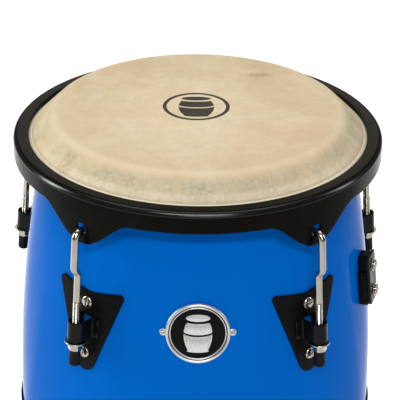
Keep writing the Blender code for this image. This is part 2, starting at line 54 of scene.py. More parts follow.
# ---- the frame's driving dimensions, in millimetres, heights from the playing surface ------
HEIGHT = 711.0
GAP = 0.3
BELLY_R, BELLY_Z, UPPER_CURVE, FOOT_R = 172.6, -318.0, 3.72e-4, 112.0
WALL = 11.5
SHELL_BOTTOM = -HEIGHT + 6.5
SKIN = 1.5
EDGE_CORNER_R, EDGE_ROUND = 131.4, 9.0
HOOP_R, HOOP_Z, HOOP_WIRE = 150.8, -25.9, 3.2
LUGS, FIRST_LUG = 5, 36.0
RIM_R, RIM_LIP_R, RIM_STEEL, RIM_TOP = 167.7, 153.8, 3.0, -18.3
RIM_WALL_BOTTOM, EAR_DROP, EAR_HALF = -38.0, 27.0, 16.0
EAR_HOLE = (10.0, -45.5, -56.3)
TILT = 5.7
LUG_R, LUG_Z = 177.8, -136.4
ROD_R = 3.175
SLEEVE_LENGTH, SLEEVE_IN, SLEEVE_OUT = 19.2, 5.7, 7.2
WASHER_R, WASHER_T = 9.3, 1.5
NUT_FLATS, NUT_H = 11.1, 6.6
CAP_R, CAP_H = 5.2, 15.4
PLATE = 2.0
PLATE_BOLTS = (-125.5, -174.0)
BOLT_R = 3.0
BAND = 1.6
BELLY_BAND, FOOT_BAND = (-303.0, -333.0), (-668.0, -690.0)
BADGE_Z, BADGE_R = -137.5, 28.3
BRACKET_ANGLE, BRACKET_TOP, BRACKET_BOTTOM = 70.0, -120.0, -167.6
BRACKET_BOLTS = (-131.0, -156.6)
ANGLES = [FIRST_LUG + 360.0 / LUGS * k for k in range(LUGS)]
LIFT = Matrix.Translation((0, 0, HEIGHT * MM))


def shell_r(z):
    """Outer radius of the shell at a height below the playing surface."""
    if z >= BELLY_Z:
        return BELLY_R - UPPER_CURVE * (z - BELLY_Z) ** 2
    t = (BELLY_Z - z) / (BELLY_Z + HEIGHT)
    return BELLY_R - (BELLY_R - FOOT_R) * t * t * (1.25 - 0.25 * t)


def shell_slope(z):
    return math.degrees(math.atan2(shell_r(z - 0.5) - shell_r(z + 0.5), 1.0))


def station(angle):
    return Matrix.Rotation(math.radians(angle), 4, "Z") @ LIFT


def on_shell(angle, z, lift=0.0):
    """A frame on the shell's outer surface: +Z is the outward normal, +Y up along the shell."""
    slope = math.radians(shell_slope(z))
    out = Vector((0, -math.cos(slope), math.sin(slope)))
    up = Vector((0, math.sin(slope), math.cos(slope)))
    side = up.cross(out)
    m = Matrix((side, up, out)).transposed().to_4x4()
    m.translation = Vector((0, -shell_r(z), z)) * MM + out * lift * MM
    return station(angle) @ m


def lug_frame(angle):
    """The lug's own frame: +Z up its axis, -Y outward, origin at the top of the sleeve."""
    return station(angle) @ Matrix.Translation((0, -LUG_R * MM, LUG_Z * MM)) @ Matrix.Rotation(-math.radians(TILT), 4, "X")


def smooth(t):
    t = max(0.0, min(1.0, t))
    return t * t * (3 - 2 * t)


def arc(centre, radius, start, end, steps):
    return [
        (
            centre[0] + radius * math.cos(math.radians(start + (end - start) * i / steps)),
            centre[1] + radius * math.sin(math.radians(start + (end - start) * i / steps)),
        )
        for i in range(steps + 1)
    ]


def filleted(corners, steps=8, closed=True):
    """An outline from (x, z, radius) corners, each rounded; an open one keeps its two ends."""
    out = []
    n = len(corners)
    for i, (x, z, r) in enumerate(corners):
        p = Vector((x, z))
        if not r or (not closed and i in (0, n - 1)):
            out.append((p.x, p.y))
            continue
        a = (Vector(corners[i - 1][:2]) - p).normalized()
        b = (Vector(corners[(i + 1) % n][:2]) - p).normalized()
        half = a.angle(b) / 2
        reach = r / math.tan(half)
        c = p + (a + b).normalized() * (r / math.sin(half))
        v0, v1 = (p + a * reach) - c, (p + b * reach) - c
        turn = v0.angle_signed(v1)
        for k in range(steps + 1):
            t = -turn * k / steps
            out.append((c.x + v0.x * math.cos(t) - v0.y * math.sin(t), c.y + v0.x * math.sin(t) + v0.y * math.cos(t)))
    return out


def wobble(p, scale, seed=0.0):
    """Smooth noise in -1..1 at a point in millimetres."""
    return noise.noise(Vector((p[0] * scale + seed, p[1] * scale - seed * 0.7, p[2] * scale + seed * 0.3)))


# ---- materials -------------------------------------------------------------------------------


class Shader:
    """A Principled material and short calls to build its node tree."""

    def __init__(self, name, colour=(0.5, 0.5, 0.5), roughness=0.5, metallic=0.0, **sockets):
        self.mat = bpy.data.materials.new(name)
        self.mat.use_nodes = True
        self.tree = self.mat.node_tree
        self.bsdf = self.tree.nodes["Principled BSDF"]
        self.set("Base Color", (*colour, 1.0))
        self.set("Roughness", roughness)
        self.set("Metallic", metallic)
        for k, v in sockets.items():
            self.set(k.replace("_", " "), v)
        self.coords = self.tree.nodes.new("ShaderNodeTexCoord").outputs["Object"]
        self.mat.diffuse_color = (*colour, 1.0)

    def set(self, socket, value):
        self.bsdf.inputs[socket].default_value = value

    def link(self, a, b):
        self.tree.links.new(a, b)

    def feed(self, node, index, value):
        if isinstance(value, bpy.types.NodeSocket):
            self.link(value, node.inputs[index])
        elif value is not None:
            node.inputs[index].default_value = value

    def math(self, op, a, b=None, c=None, clamp=False):
        n = self.tree.nodes.new("ShaderNodeMath")
        n.operation, n.use_clamp = op, clamp
        for i, v in enumerate((a, b, c)):
            self.feed(n, i, v)
        return n.outputs[0]

    def vector(self, op, a, b=None, scale=None):
        n = self.tree.nodes.new("ShaderNodeVectorMath")
        n.operation = op
        self.feed(n, 0, a)
        if b is not None:
            self.feed(n, 1, b)
        if scale is not None:
            self.feed(n, "Scale", scale)
        return n.outputs["Value"] if op in ("LENGTH", "DOT_PRODUCT", "DISTANCE") else n.outputs[0]

    def stretch(self, factors, coords=None):
        return self.vector("MULTIPLY", coords or self.coords, factors)

    def noise(self, scale, detail=4.0, rough=0.5, coords=None, distortion=0.0, colour=False):
        n = self.tree.nodes.new("ShaderNodeTexNoise")
        n.inputs["Scale"].default_value = scale
        n.inputs["Detail"].default_value = detail
        n.inputs["Roughness"].default_value = rough
        n.inputs["Distortion"].default_value = distortion
        self.link(coords or self.coords, n.inputs["Vector"])
        return n.outputs["Color" if colour else 0]

    def cells(self, scale, feature="F1", coords=None, randomness=1.0, colour=False):
        n = self.tree.nodes.new("ShaderNodeTexVoronoi")
        n.feature = feature
        n.inputs["Scale"].default_value = scale
        n.inputs["Randomness"].default_value = randomness
        self.link(coords or self.coords, n.inputs["Vector"])
        return n.outputs["Color" if colour else "Distance"]

    def ramp(self, value, stops):
        """Colour ramp from (position, grey or colour) stops."""
        n = self.tree.nodes.new("ShaderNodeValToRGB")
        e = n.color_ramp.elements
        while len(e) > 1:
            e.remove(e[-1])
        for i, (at, c) in enumerate(stops):
            if i:
                e.new(at)
            e[i].position = at
            e[i].color = (*c, 1.0) if isinstance(c, tuple) else (c, c, c, 1.0)
        self.link(value, n.inputs[0])
        return n.outputs[0]

    def range(self, value, a, b, c=0.0, d=1.0, smooth_step=False):
        n = self.tree.nodes.new("ShaderNodeMapRange")
        n.clamp = True
        if smooth_step:
            n.interpolation_type = "SMOOTHSTEP"
        self.link(value, n.inputs[0])
        for i, v in enumerate((a, b, c, d)):
            n.inputs[i + 1].default_value = v
        return n.outputs[0]

    def mix(self, factor, a, b, mode="MIX"):
        n = self.tree.nodes.new("ShaderNodeMix")
        n.data_type, n.blend_type = "RGBA", mode
        n.clamp_factor = True
        for name, v in (("Factor", factor), ("A", a), ("B", b)):
            socket = next(s for s in n.inputs if s.name == name and s.enabled and (name == "Factor") == (s.type == "VALUE"))
            if isinstance(v, bpy.types.NodeSocket):
                self.link(v, socket)
            elif name == "Factor":
                socket.default_value = v
            else:
                socket.default_value = (*v, 1.0) if isinstance(v, tuple) else (v, v, v, 1.0)
        return next(s for s in n.outputs if s.enabled)

    def split(self, coords=None):
        n = self.tree.nodes.new("ShaderNodeSeparateXYZ")
        self.link(coords or self.coords, n.inputs[0])
        return n.outputs

    def bump(self, height, strength, distance, normal=None):
        n = self.tree.nodes.new("ShaderNodeBump")
        n.inputs["Strength"].default_value = strength
        n.inputs["Distance"].default_value = distance
        self.link(height, n.inputs["Height"])
        if normal is not None:
            self.link(normal, n.inputs["Normal"])
        self.link(n.outputs[0], self.bsdf.inputs["Normal"])
        return n.outputs[0]

    def colour(self, value):
        self.link(value, self.bsdf.inputs["Base Color"])

    def roughness(self, value):
        self.link(value, self.bsdf.inputs["Roughness"])


def lacquer():
    s = Shader("blue_lacquer", (0.0, 0.13, 0.55), 0.45, Coat_Weight=1.0, Coat_Roughness=0.05, Coat_IOR=1.07, Specular_IOR_Level=0.0)
    broad = s.noise(5.0, 3.0)
    c = s.mix(broad, (0.0, 0.119, 0.53), (0.0, 0.135, 0.59))
    dust = s.cells(900.0)
    specks = s.range(dust, 0.0, 0.09, 0.16, 0.0)
    s.colour(s.mix(s.math("MULTIPLY", specks, s.range(s.noise(30.0, 2.0), 0.5, 0.7)), c, (0.12, 0.22, 0.5)))
    s.roughness(s.range(s.noise(60.0, 3.0, 0.6), 0.3, 0.75, 0.4, 0.5))
    n = s.bump(s.noise(240.0, 1.5, 0.4), 0.035, 0.0006)
    s.link(n, s.bsdf.inputs["Coat Normal"])
    return s.mat


def bare_wood():
    """Sealed pale wood in glued staves, as seen inside the shell and on its foot."""
    s = Shader("bare_wood", (0.5, 0.33, 0.17), 0.55, Coat_Weight=0.12, Coat_Roughness=0.35)
    x, y, z = s.split()
    turn = s.math("MULTIPLY", s.math("ADD", s.math("ARCTAN2", y, x), math.pi), 24 / (2 * math.pi))
    index = s.math("FLOOR", turn)
    within = s.math("SUBTRACT", turn, index)
    one = s.tree.nodes.new("ShaderNodeTexWhiteNoise")
    one.noise_dimensions = "1D"
    s.link(index, one.inputs["W"])
    shift = s.tree.nodes.new("ShaderNodeCombineXYZ")
    s.link(one.outputs["Value"], shift.inputs[2])
    moved = s.vector("ADD", s.coords, s.vector("SCALE", shift.outputs[0], scale=3.0))
    grain = s.noise(55.0, 8.0, 0.62, coords=s.stretch((1.0, 1.0, 0.045), moved), distortion=0.6)
    pores = s.noise(700.0, 2.0, 0.5, coords=s.stretch((1.0, 1.0, 0.03), moved))
    c = s.ramp(grain, [(0.25, (0.33, 0.19, 0.085)), (0.5, (0.52, 0.34, 0.17)), (0.75, (0.63, 0.45, 0.25))])
    c = s.mix(s.range(one.outputs["Value"], 0.0, 1.0, 0.0, 0.35), c, (0.4, 0.24, 0.11))
    c = s.mix(s.range(pores, 0.55, 0.7, 0.0, 0.45), c, (0.2, 0.11, 0.05))
    seam = s.math("MINIMUM", within, s.math("SUBTRACT", 1.0, within))
    line = s.range(seam, 0.0, 0.022, 1.0, 0.0)
    s.colour(s.mix(s.math("MULTIPLY", line, 0.8), c, (0.1, 0.055, 0.025)))
    s.roughness(s.range(grain, 0.2, 0.8, 0.45, 0.68))
    height = s.math("SUBTRACT", s.math("MULTIPLY", pores, 0.5), line)
    s.bump(height, 0.35, 0.0005)
    return s.mat


def rawhide():
    s = Shader("rawhide", (0.73, 0.6, 0.4), 0.62, Specular_IOR_Level=0.14, Subsurface_Weight=0.05, Subsurface_Radius=(0.002, 0.0013, 0.0008), Sheen_Weight=0.0)
    x, y, z = s.split()
    radius = s.math("MULTIPLY", s.math("SQRT", s.math("ADD", s.math("MULTIPLY", x, x), s.math("MULTIPLY", y, y))), 1000.0)
    cloudy = s.noise(9.0, 6.0, 0.62, distortion=0.7)
    patches = s.noise(24.0, 8.0, 0.68, distortion=0.4)
    fine = s.noise(95.0, 8.0, 0.7)
    pores = s.cells(620.0)
    follicles = s.range(pores, 0.0, 0.30, 1.0, 0.0)
    c = s.ramp(cloudy, [(0.28, (0.70, 0.55, 0.355)), (0.45, (0.765, 0.628, 0.415)), (0.6, (0.80, 0.68, 0.47)), (0.75, (0.74, 0.60, 0.40))])
    pink = s.range(s.noise(13.0, 5.0, 0.6, coords=s.vector("ADD", s.coords, (0.4, 0.1, 0.2))), 0.5, 0.68)
    c = s.mix(s.math("MULTIPLY", pink, 0.6), c, (0.80, 0.575, 0.40))
    c = s.mix(s.range(patches, 0.47, 0.68, 0.0, 0.55), c, (0.86, 0.775, 0.60))
    c = s.mix(s.range(fine, 0.46, 0.72, 0.0, 0.34), c, (0.60, 0.46, 0.29))
    # grey-green bloom of the hair side on the collar, in broken patches
    collar = s.range(radius, 133.0, 140.0, 0.0, 1.0, True)
    bloom_at = s.range(s.math("SUBTRACT", s.noise(12.0, 6.0, 0.7, coords=s.vector("ADD", s.coords, (0.13, 0.7, 0.0))), s.math("MULTIPLY", y, 1.1)), 0.46, 0.62)
    bloom_fine = s.math("MULTIPLY", s.range(s.noise(260.0, 8.0, 0.82, distortion=0.8), 0.40, 0.62), s.range(s.noise(46.0, 5.0, 0.7), 0.36, 0.56, 0.25, 1.0))
    bloom = s.math("MULTIPLY", s.math("MULTIPLY", collar, bloom_at), bloom_fine)
    c = s.mix(s.math("MULTIPLY", bloom, 0.8), c, (0.31, 0.31, 0.23))
    grey = s.math("MULTIPLY", s.math("MULTIPLY", collar, bloom_at), 0.30)
    c = s.mix(grey, c, (0.56, 0.54, 0.42))
    dots = s.math("MULTIPLY", follicles, s.range(s.noise(40.0, 3.0), 0.45, 0.62))
    s_dots = s.math("MULTIPLY", dots, s.math("ADD", s.math("MULTIPLY", collar, 0.7), 0.16))
    c = s.mix(s_dots, c, (0.30, 0.25, 0.17))
    # lighter where the skin is worn smooth over the bearing edge; the lighter band over the hoop is a painted
    # highlight
    worn = s.math("MULTIPLY", s.range(radius, 124.0, 130.0, 0.0, 1.0, True), s.range(radius, 130.0, 136.0, 1.0, 0.0, True))
    c = s.mix(s.math("MULTIPLY", worn, 0.35), c, (0.86, 0.77, 0.58))
    # painted highlight: a lighter band where the hide bulges over the hoop
    painted_hoop_highlight = s.range(radius, 150.4, 151.6, 0.0, 1.0, True)
    # painted light: the low front of the collar, which lies in the rim's shade, is painted lighter in mottled patches
    painted_front_light = s.math("MULTIPLY", s.range(radius, 143.0, 146.5, 0.0, 0.6, True), s.range(y, -0.09, -0.03, 1.0, 0.0, True))
    mottled = s.range(s.noise(110.0, 5.0, 0.7), 0.38, 0.62, 0.35, 1.0)
    c = s.mix(s.math("MULTIPLY", painted_front_light, mottled), c, (0.94, 0.84, 0.66))
    c = s.mix(s.math("MULTIPLY", painted_hoop_highlight, 0.9), c, (0.98, 0.91, 0.73))
    spot = s.vector("DISTANCE", s.stretch((0.55, 1.0, 0.0)), (0.0325, 0.078, 0.0))
    c = s.mix(s.math("MULTIPLY", s.range(spot, 0.002, 0.010, 1.0, 0.0, True), s.range(fine, 0.35, 0.7, 0.1, 0.75)), c, (0.42, 0.28, 0.14))
    smudge = s.vector("DISTANCE", s.stretch((1.0, 0.8, 0.0)), (-0.113, -0.071, 0.0))
    c = s.mix(s.math("MULTIPLY", s.range(smudge, 0.001, 0.012, 1.0, 0.0, True), s.range(fine, 0.4, 0.7, 0.0, 0.8)), c, (0.40, 0.24, 0.12))
    # painted shade: a dark line in the crease where the hide turns down onto the hoop
    painted_crease_shade = s.math("MULTIPLY", s.range(radius, 149.4, 150.1, 0.0, 1.0, True), s.range(radius, 150.4, 151.0, 1.0, 0.0, True))
    c = s.mix(s.math("MULTIPLY", painted_crease_shade, 0.42), c, (0.42, 0.31, 0.17))
    tone = s.mix(s.range(s.vector("DISTANCE", s.stretch((1.0, 1.0, 0.0)), (0.0, -0.015, 0.0)), 0.03, 0.125, 0.0, 1.0, True), (0.93, 0.925, 0.915), (0.845, 0.81, 0.765))
    c = s.mix(1.0, c, tone, "MULTIPLY")
    # veins: thin branching lines
    vein = s.tree.nodes.new("ShaderNodeTexVoronoi")
    vein.feature = "DISTANCE_TO_EDGE"
    vein.inputs["Scale"].default_value = 17.0
    bent = s.mix(0.05, s.coords, s.noise(14.0, 4.0, 0.6, colour=True), "ADD")
    s.link(bent, vein.inputs["Vector"])
    lines = s.math("MULTIPLY", s.range(vein.outputs["Distance"], 0.0, 0.03, 1.0, 0.0), s.range(cloudy, 0.5, 0.62))
    c = s.mix(s.math("MULTIPLY", lines, 0.16), c, (0.55, 0.39, 0.24))
    # the print: a ring round a plain drum figure, slightly broken by the hide's grain
    px = s.math("MULTIPLY", s.math("SUBTRACT", x, -0.0018), 1000.0)
    py = s.math("MULTIPLY", s.math("SUBTRACT", y, 0.0028), 1000.0)
    away = s.math("SQRT", s.math("ADD", s.math("MULTIPLY", px, px), s.math("MULTIPLY", py, py)))
    ring = s.math("SUBTRACT", 1.8, s.math("ABSOLUTE", s.math("SUBTRACT", away, 28.75)))
    px, py = s.math("DIVIDE", px, 1.42), s.math("DIVIDE", py, 1.42)
    top_y = s.math("SUBTRACT", py, 12.2)
    ex, ey = s.math("DIVIDE", px, 9.6), s.math("DIVIDE", top_y, 3.1)
    e = s.math("SQRT", s.math("ADD", s.math("MULTIPLY", ex, ex), s.math("MULTIPLY", ey, ey)))
    head = s.math("MULTIPLY", s.math("SUBTRACT", 1.0, e), 3.4)
    belly = s.math("SUBTRACT", py, -1.0)
    half = s.math("SUBTRACT", 11.4, s.math("MULTIPLY", s.math("MULTIPLY", belly, belly), 0.021))
    sides = s.math("SUBTRACT", half, s.math("ABSOLUTE", px))
    # the body's upper edge runs parallel to the head's lower edge
    dip = s.math("MULTIPLY", s.math("SQRT", s.math("MAXIMUM", s.math("SUBTRACT", 1.0, s.math("MULTIPLY", s.math("DIVIDE", px, 11.6), s.math("DIVIDE", px, 11.6))), 0.0)), -3.6)
    upper = s.math("SUBTRACT", s.math("ADD", dip, 10.9), py)
    lower = s.math("SUBTRACT", py, s.math("ADD", dip, -12.6))
    body = s.math("MINIMUM", s.math("MINIMUM", upper, lower), sides)
    band1 = s.math("SUBTRACT", s.math("ABSOLUTE", s.math("SUBTRACT", py, s.math("ADD", dip, 1.2))), 0.75)
    body = s.math("MINIMUM", body, band1)
    ink = s.math("MAXIMUM", ring, s.math("MAXIMUM", head, body))
    rag = s.math("MULTIPLY", s.math("SUBTRACT", s.noise(420.0, 5.0, 0.7), 0.5), 0.9)
    ink = s.range(s.math("ADD", ink, rag), -0.12, 0.22)
    facing = s.range(z, 0.7, 0.706)
    ink = s.math("MULTIPLY", ink, facing)
    broken = s.range(s.noise(330.0, 4.0, 0.7), 0.64, 0.74, 0.97, 0.7)
    c = s.mix(s.math("MULTIPLY", ink, broken), c, (0.022, 0.019, 0.016))
    s.colour(c)
    s.roughness(s.math("SUBTRACT", s.range(cloudy, 0.3, 0.7, 0.56, 0.7), s.math("MULTIPLY", ink, 0.12)))
    height = s.math("ADD", s.math("MULTIPLY", fine, 0.6), s.math("MULTIPLY", s.noise(45.0, 4.0, 0.6), 1.4))
    height = s.math("SUBTRACT", height, s.math("MULTIPLY", follicles, 0.12))
    s.bump(height, 0.4, 0.00055)
    return s.mat


def powder_coat(name, colour, roughness=(0.33, 0.45), grain=1600.0, depth=0.00012, dust=(0.02, 0.018, 0.015), gloss=0.09, bump=0.22):
    s = Shader(name, colour, roughness[0], Specular_IOR_Level=gloss)
    broad = s.noise(18.0, 5.0, 0.6)
    lighter = tuple(min(1.0, v * 1.9 + 0.004) for v in colour)
    c = s.mix(s.range(broad, 0.35, 0.7, 0.0, 0.55), colour, lighter)
    haze = s.math("MULTIPLY", s.range(s.noise(140.0, 5.0, 0.7), 0.55, 0.75), s.range(broad, 0.4, 0.6))
    s.colour(s.mix(s.math("MULTIPLY", haze, 0.35), c, dust))
    s.roughness(s.range(s.noise(65.0, 4.0, 0.6), 0.3, 0.7, *roughness))
    s.bump(s.math("ADD", s.noise(grain, 2.0, 0.5), s.math("MULTIPLY", s.noise(grain / 9, 2.0, 0.5), 0.6)), bump, depth)
    return s.mat


def plated(name, colour, roughness=(0.13, 0.26), tarnish=(0.5, 0.38, 0.24), drag=(1.0, 1.0, 1.0)):
    s = Shader(name, colour, roughness[0], 1.0)
    broad = s.noise(70.0, 4.0, 0.6)
    spots = s.range(s.noise(420.0, 4.0, 0.65), 0.58, 0.74)
    c = s.mix(s.range(broad, 0.35, 0.7, 0.0, 0.5), colour, tuple(v * 0.82 for v in colour))
    s.colour(s.mix(s.math("MULTIPLY", spots, 0.4), c, tarnish))
    marks = s.noise(900.0, 3.0, 0.6, coords=s.stretch(drag))
    s.roughness(s.math("ADD", s.range(marks, 0.3, 0.75, *roughness), s.math("MULTIPLY", spots, 0.12)))
    s.bump(marks, 0.12, 0.00006)
    return s.mat


def rubber(name="black_rubber"):
    s = Shader(name, (0.006, 0.0057, 0.0053), 0.7, Specular_IOR_Level=0.12)
    haze = s.noise(90.0, 6.0, 0.7)
    s.colour(s.mix(s.range(haze, 0.4, 0.75, 0.0, 0.5), (0.0045, 0.0043, 0.004), (0.018, 0.016, 0.014)))
    s.roughness(s.range(haze, 0.3, 0.7, 0.48, 0.72))
    s.bump(s.noise(1500.0, 3.0, 0.6), 0.3, 0.00015)
    return s.mat


def enamel():
    s = Shader("badge_enamel", (0.003, 0.003, 0.0035), 0.35, Coat_Weight=0.3, Coat_Roughness=0.15, Coat_IOR=1.2, Specular_IOR_Level=0.06)
    fine = s.noise(500.0, 3.0, 0.6)
    s.colour(s.mix(s.range(fine, 0.45, 0.75, 0.0, 0.6), (0.0025, 0.0025, 0.003), (0.008, 0.008, 0.009)))
    s.roughness(s.range(fine, 0.3, 0.7, 0.28, 0.42))
    s.bump(fine, 0.1, 0.00005)
    return s.mat


def brushed(name="badge_silver", colour=(0.86, 0.85, 0.83)):
    s = Shader(name, colour, 0.3, 0.9)
    marks = s.noise(1500.0, 3.0, 0.6, coords=s.stretch((1.0, 0.12, 1.0)))
    c = s.mix(s.range(marks, 0.3, 0.75), colour, tuple(v * 0.72 for v in colour))
    s.colour(c)
    s.roughness(s.range(marks, 0.3, 0.75, 0.26, 0.44))
    s.bump(marks, 0.2, 0.00008)
    return s.mat


LACQUER, WOOD, HIDE = lacquer(), bare_wood(), rawhide()
COAT = powder_coat("black_powder_coat", (0.0018, 0.0015, 0.0011), (0.16, 0.22), gloss=0.045, bump=0.1)
ROLL_COAT = powder_coat("rim_roll_coat", (0.002, 0.0017, 0.0013), (0.17, 0.23), gloss=0.42, bump=0.05)
PLATE_COAT = powder_coat("plate_powder_coat", (0.0028, 0.0027, 0.0026), (0.27, 0.38), 1300.0, gloss=0.07)
SLEEVE_COAT = powder_coat("sleeve_powder_coat", (0.0016, 0.0015, 0.0013), (0.16, 0.24), 1300.0, gloss=0.15, bump=0.12)
GREY_COAT = powder_coat("grey_powder_coat", (0.011, 0.011, 0.012), (0.24, 0.34), 1500.0, gloss=0.1)
MOULDING = powder_coat("black_moulding", (0.003, 0.003, 0.003), (0.22, 0.3), 900.0, 0.0001, gloss=0.05)
NICKEL = plated("nickel_plate", (0.54, 0.49, 0.415), (0.10, 0.2), (0.26, 0.2, 0.13), drag=(1.0, 1.0, 0.2))
ZINC = plated("zinc_plate", (0.5, 0.5, 0.5), (0.34, 0.5), (0.35, 0.33, 0.3))
RUBBER, ENAMEL, SILVER = rubber(), enamel(), brushed()

# ---- meshes ----------------------------------------------------------------------------------


def mesh_of(name, verts, faces, mats, face_mats=None, angle=40.0, scale=MM):
    mesh = bpy.data.meshes.new(name)
    mesh.from_pydata([(x * scale, y * scale, z * scale) for x, y, z in verts], [], faces)
    for m in mats:
        mesh.materials.append(m)
    if face_mats is not None:
        mesh.polygons.foreach_set("material_index", np.array(face_mats, np.int32))
    bm = bmesh.new()
    bm.from_mesh(mesh)
    bmesh.ops.remove_doubles(bm, verts=bm.verts, dist=1e-8)
    bmesh.ops.recalc_face_normals(bm, faces=bm.faces)
    bm.to_mesh(mesh)
    bm.free()
    shade(mesh, angle)
    return mesh


def shade(mesh, angle=40.0):
    mesh.shade_smooth()
    mesh.set_sharp_from_angle(angle=math.radians(angle))
    return mesh


def loft(rings, close_path=False, caps=True):
    """Vertices and faces between equal closed rings."""
    n, m = len(rings), len(rings[0])
    verts = [p for ring in rings for p in ring]
    faces = []
    for i in range(n if close_path else n - 1):
        a, b = i * m, ((i + 1) % n) * m
        for k in range(m):
            j = (k + 1) % m
            faces.append((a + k, a + j, b + j, b + k))
    if caps and not close_path:
        faces.append(tuple(range(m))[::-1])
        faces.append(tuple(range((n - 1) * m, n * m)))
    return verts, faces


def revolve(profile, steps, warp=None, closed=True):
    """A profile of (radius, height) turned round Z. Points at radius 0 become one."""
    verts, index, faces = [], [], []
    rows = len(profile)
    for r, z in profile:
        if r <= 1e-9:
            index.append([len(verts)] * steps)
            verts.append(warp((0.0, 0.0, z)) if warp else (0.0, 0.0, z))
            continue
        row = []
        for j in range(steps):
            t = 2 * math.pi * j / steps
            p = (r * math.sin(t), -r * math.cos(t), z)
            row.append(len(verts))
            verts.append(warp(p) if warp else p)
        index.append(row)
    owner = []
    for i in range(rows if closed else rows - 1):
        a, b = index[i], index[(i + 1) % rows]
        for j in range(steps):
            n = (j + 1) % steps
            quad = []
            for v in (a[j], a[n], b[n], b[j]):
                if v not in quad:
                    quad.append(v)
            if len(quad) > 2:
                faces.append(tuple(quad))
                owner.append(i)
    return verts, faces, owner


def place(name, mesh, body, replaces=(), matrix=None, ride=True):
    o = bpy.data.objects.new(name, mesh)
    bpy.context.scene.collection.objects.link(o)
    if matrix is not None:
        o.matrix_world = matrix
    if ride:
        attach(o, body)
    if replaces:
        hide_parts(*replaces)
    return o


def evaluated(o):
    bpy.context.view_layer.update()
    return bpy.data.meshes.new_from_object(o.evaluated_get(bpy.context.evaluated_depsgraph_get()))


def temporary(mesh, matrix=None):
    o = bpy.data.objects.new("temporary", mesh)
    bpy.context.scene.collection.objects.link(o)
    if matrix is not None:
        o.matrix_world = matrix
    return o


def boolean(mesh, tools, operation="DIFFERENCE"):
    """The mesh cut by, or joined to, other meshes given as (mesh, matrix)."""
    o = temporary(mesh)
    made = [temporary(m, at) for m, at in tools]
    for t in made:
        b = o.modifiers.new("Boolean", "BOOLEAN")
        b.operation, b.object, b.solver = operation, t, "EXACT"
    result = evaluated(o)
    for t in made + [o]:
        bpy.data.objects.remove(t)
    return result


def bevelled(mesh, width, segments=3, angle=40.0, limit=35.0):
    o = temporary(mesh)
    b = o.modifiers.new("Bevel", "BEVEL")
    b.width, b.segments, b.limit_method, b.angle_limit = width * MM, segments, "ANGLE", math.radians(limit)
    b.use_clamp_overlap = True
    b.harden_normals = False
    result = evaluated(o)
    bpy.data.objects.remove(o)
    return shade(result, angle)


def prism(outline, low, high):
    """A closed outline in X and Y, extruded in Z."""
    return loft([[(x, y, low) for x, y in outline], [(x, y, high) for x, y in outline]])


def rounded_box(size, radius, steps=6):
    x, y = size[0] / 2, size[1] / 2
    outline = filleted([(-x, -y, radius), (x, -y, radius), (x, y, radius), (-x, y, radius)], steps)
    return mesh_of("rounded_box", *prism(outline, -size[2] / 2, size[2] / 2), [])


# ---- the skin's section ----------------------------------------------------------------------
wrap_r = HOOP_WIRE + GAP + SKIN
low = 0.0
for _ in range(40):
    touch = (HOOP_R + wrap_r * math.sin(low), HOOP_Z + wrap_r * math.cos(low))
    low = math.atan2(-touch[1], touch[0] - EDGE_CORNER_R)
SLOPE = math.degrees(low)
edge_c = EDGE_CORNER_R - EDGE_ROUND * math.tan(low / 2)


def over_edge(offset, steps):
    return arc((edge_c, -EDGE_ROUND), EDGE_ROUND - offset, 90, 90 - SLOPE, steps)


def along_slope(distance, offset):
    r, z = over_edge(offset, 2)[-1]
    return (r + distance * math.cos(low), z - distance * math.sin(low))


# ---- shell -----------------------------------------------------------------------------------
inside = SKIN + GAP
edge = over_edge(inside, 10)
shoulder_z = -15.0
a, c = edge[-1], (shell_r(shoulder_z), shoulder_z)
b = (c[0] - 0.6, a[1] - (c[0] - 0.6 - a[0]) * math.tan(low))
outer = [tuple((1 - i / 14) ** 2 * a[k] + 2 * (i / 14) * (1 - i / 14) * b[k] + (i / 14) ** 2 * c[k] for k in (0, 1)) for i in range(1, 15)]
shell_rows = 150
for i in range(1, shell_rows + 1):
    z = shoulder_z + (SHELL_BOTTOM + 1.5 - shoulder_z) * i / shell_rows
    outer.append((shell_r(z), z))
foot_out, foot_in = shell_r(SHELL_BOTTOM), shell_r(SHELL_BOTTOM) - WALL
outer += arc((foot_out - 1.5, SHELL_BOTTOM + 1.5), 1.5, -20, -90, 4)
inner = arc((foot_in + 1.5, SHELL_BOTTOM + 1.5), 1.5, -90, -160, 4)
for i in range(1, 71):
    z = SHELL_BOTTOM + 1.5 + (shoulder_z - 14.0 - SHELL_BOTTOM) * i / 70
    inner.append((shell_r(z) - WALL, z))
profile = edge[:-1] + outer + inner + [(edge_c - 1.5, -inside - 2.0)]


def shell_warp(p):
    """The staves' slight unevenness under the lacquer."""
    x, y, z = p
    if z > -20 or z < SHELL_BOTTOM + 8:
        return p
    r = math.hypot(x, y)
    t = math.atan2(x, -y)
    d = 0.05 * math.cos(t * 24) + 0.10 * noise.noise(Vector((math.cos(t) * 3.0, math.sin(t) * 3.0, z * 0.006)))
    return (x * (r + d) / r, y * (r + d) / r, z)


verts, faces, owner = revolve(profile, 240, shell_warp)
first_inner = len(edge) - 1 + len(outer) - 4
mats = [1 if i >= first_inner else (0 if i > len(edge) + 8 else 1) for i in owner]
shell = place("shell_lacquered", mesh_of("shell_lacquered", verts, faces, [LACQUER, WOOD], mats), "drum", ["shell"], LIFT)


# ---- bands and base ring -----------------------------------------------------------------------


def band(name, node, span):
    zs = [span[0] + (span[1] - span[0]) * i / 10 for i in range(11)]
    outside = [(shell_r(z) + GAP + BAND, z) for z in zs]
    back = [(shell_r(z) + GAP, z) for z in reversed(zs)]
    corners = [(*outside[0], 0.6)] + [(*p, 0) for p in outside[1:-1]] + [(*outside[-1], 0.6), (*back[0], 0.2)] + [(*p, 0) for p in back[1:-1]] + [(*back[-1], 0.2)]
    verts, faces, _ = revolve(filleted(corners, 4), 240)
    return place(name, mesh_of(name, verts, faces, [COAT]), "drum", [node], LIFT)


band("belly_band_steel", "belly_band", BELLY_BAND)
band("foot_band_steel", "foot_band", FOOT_BAND)

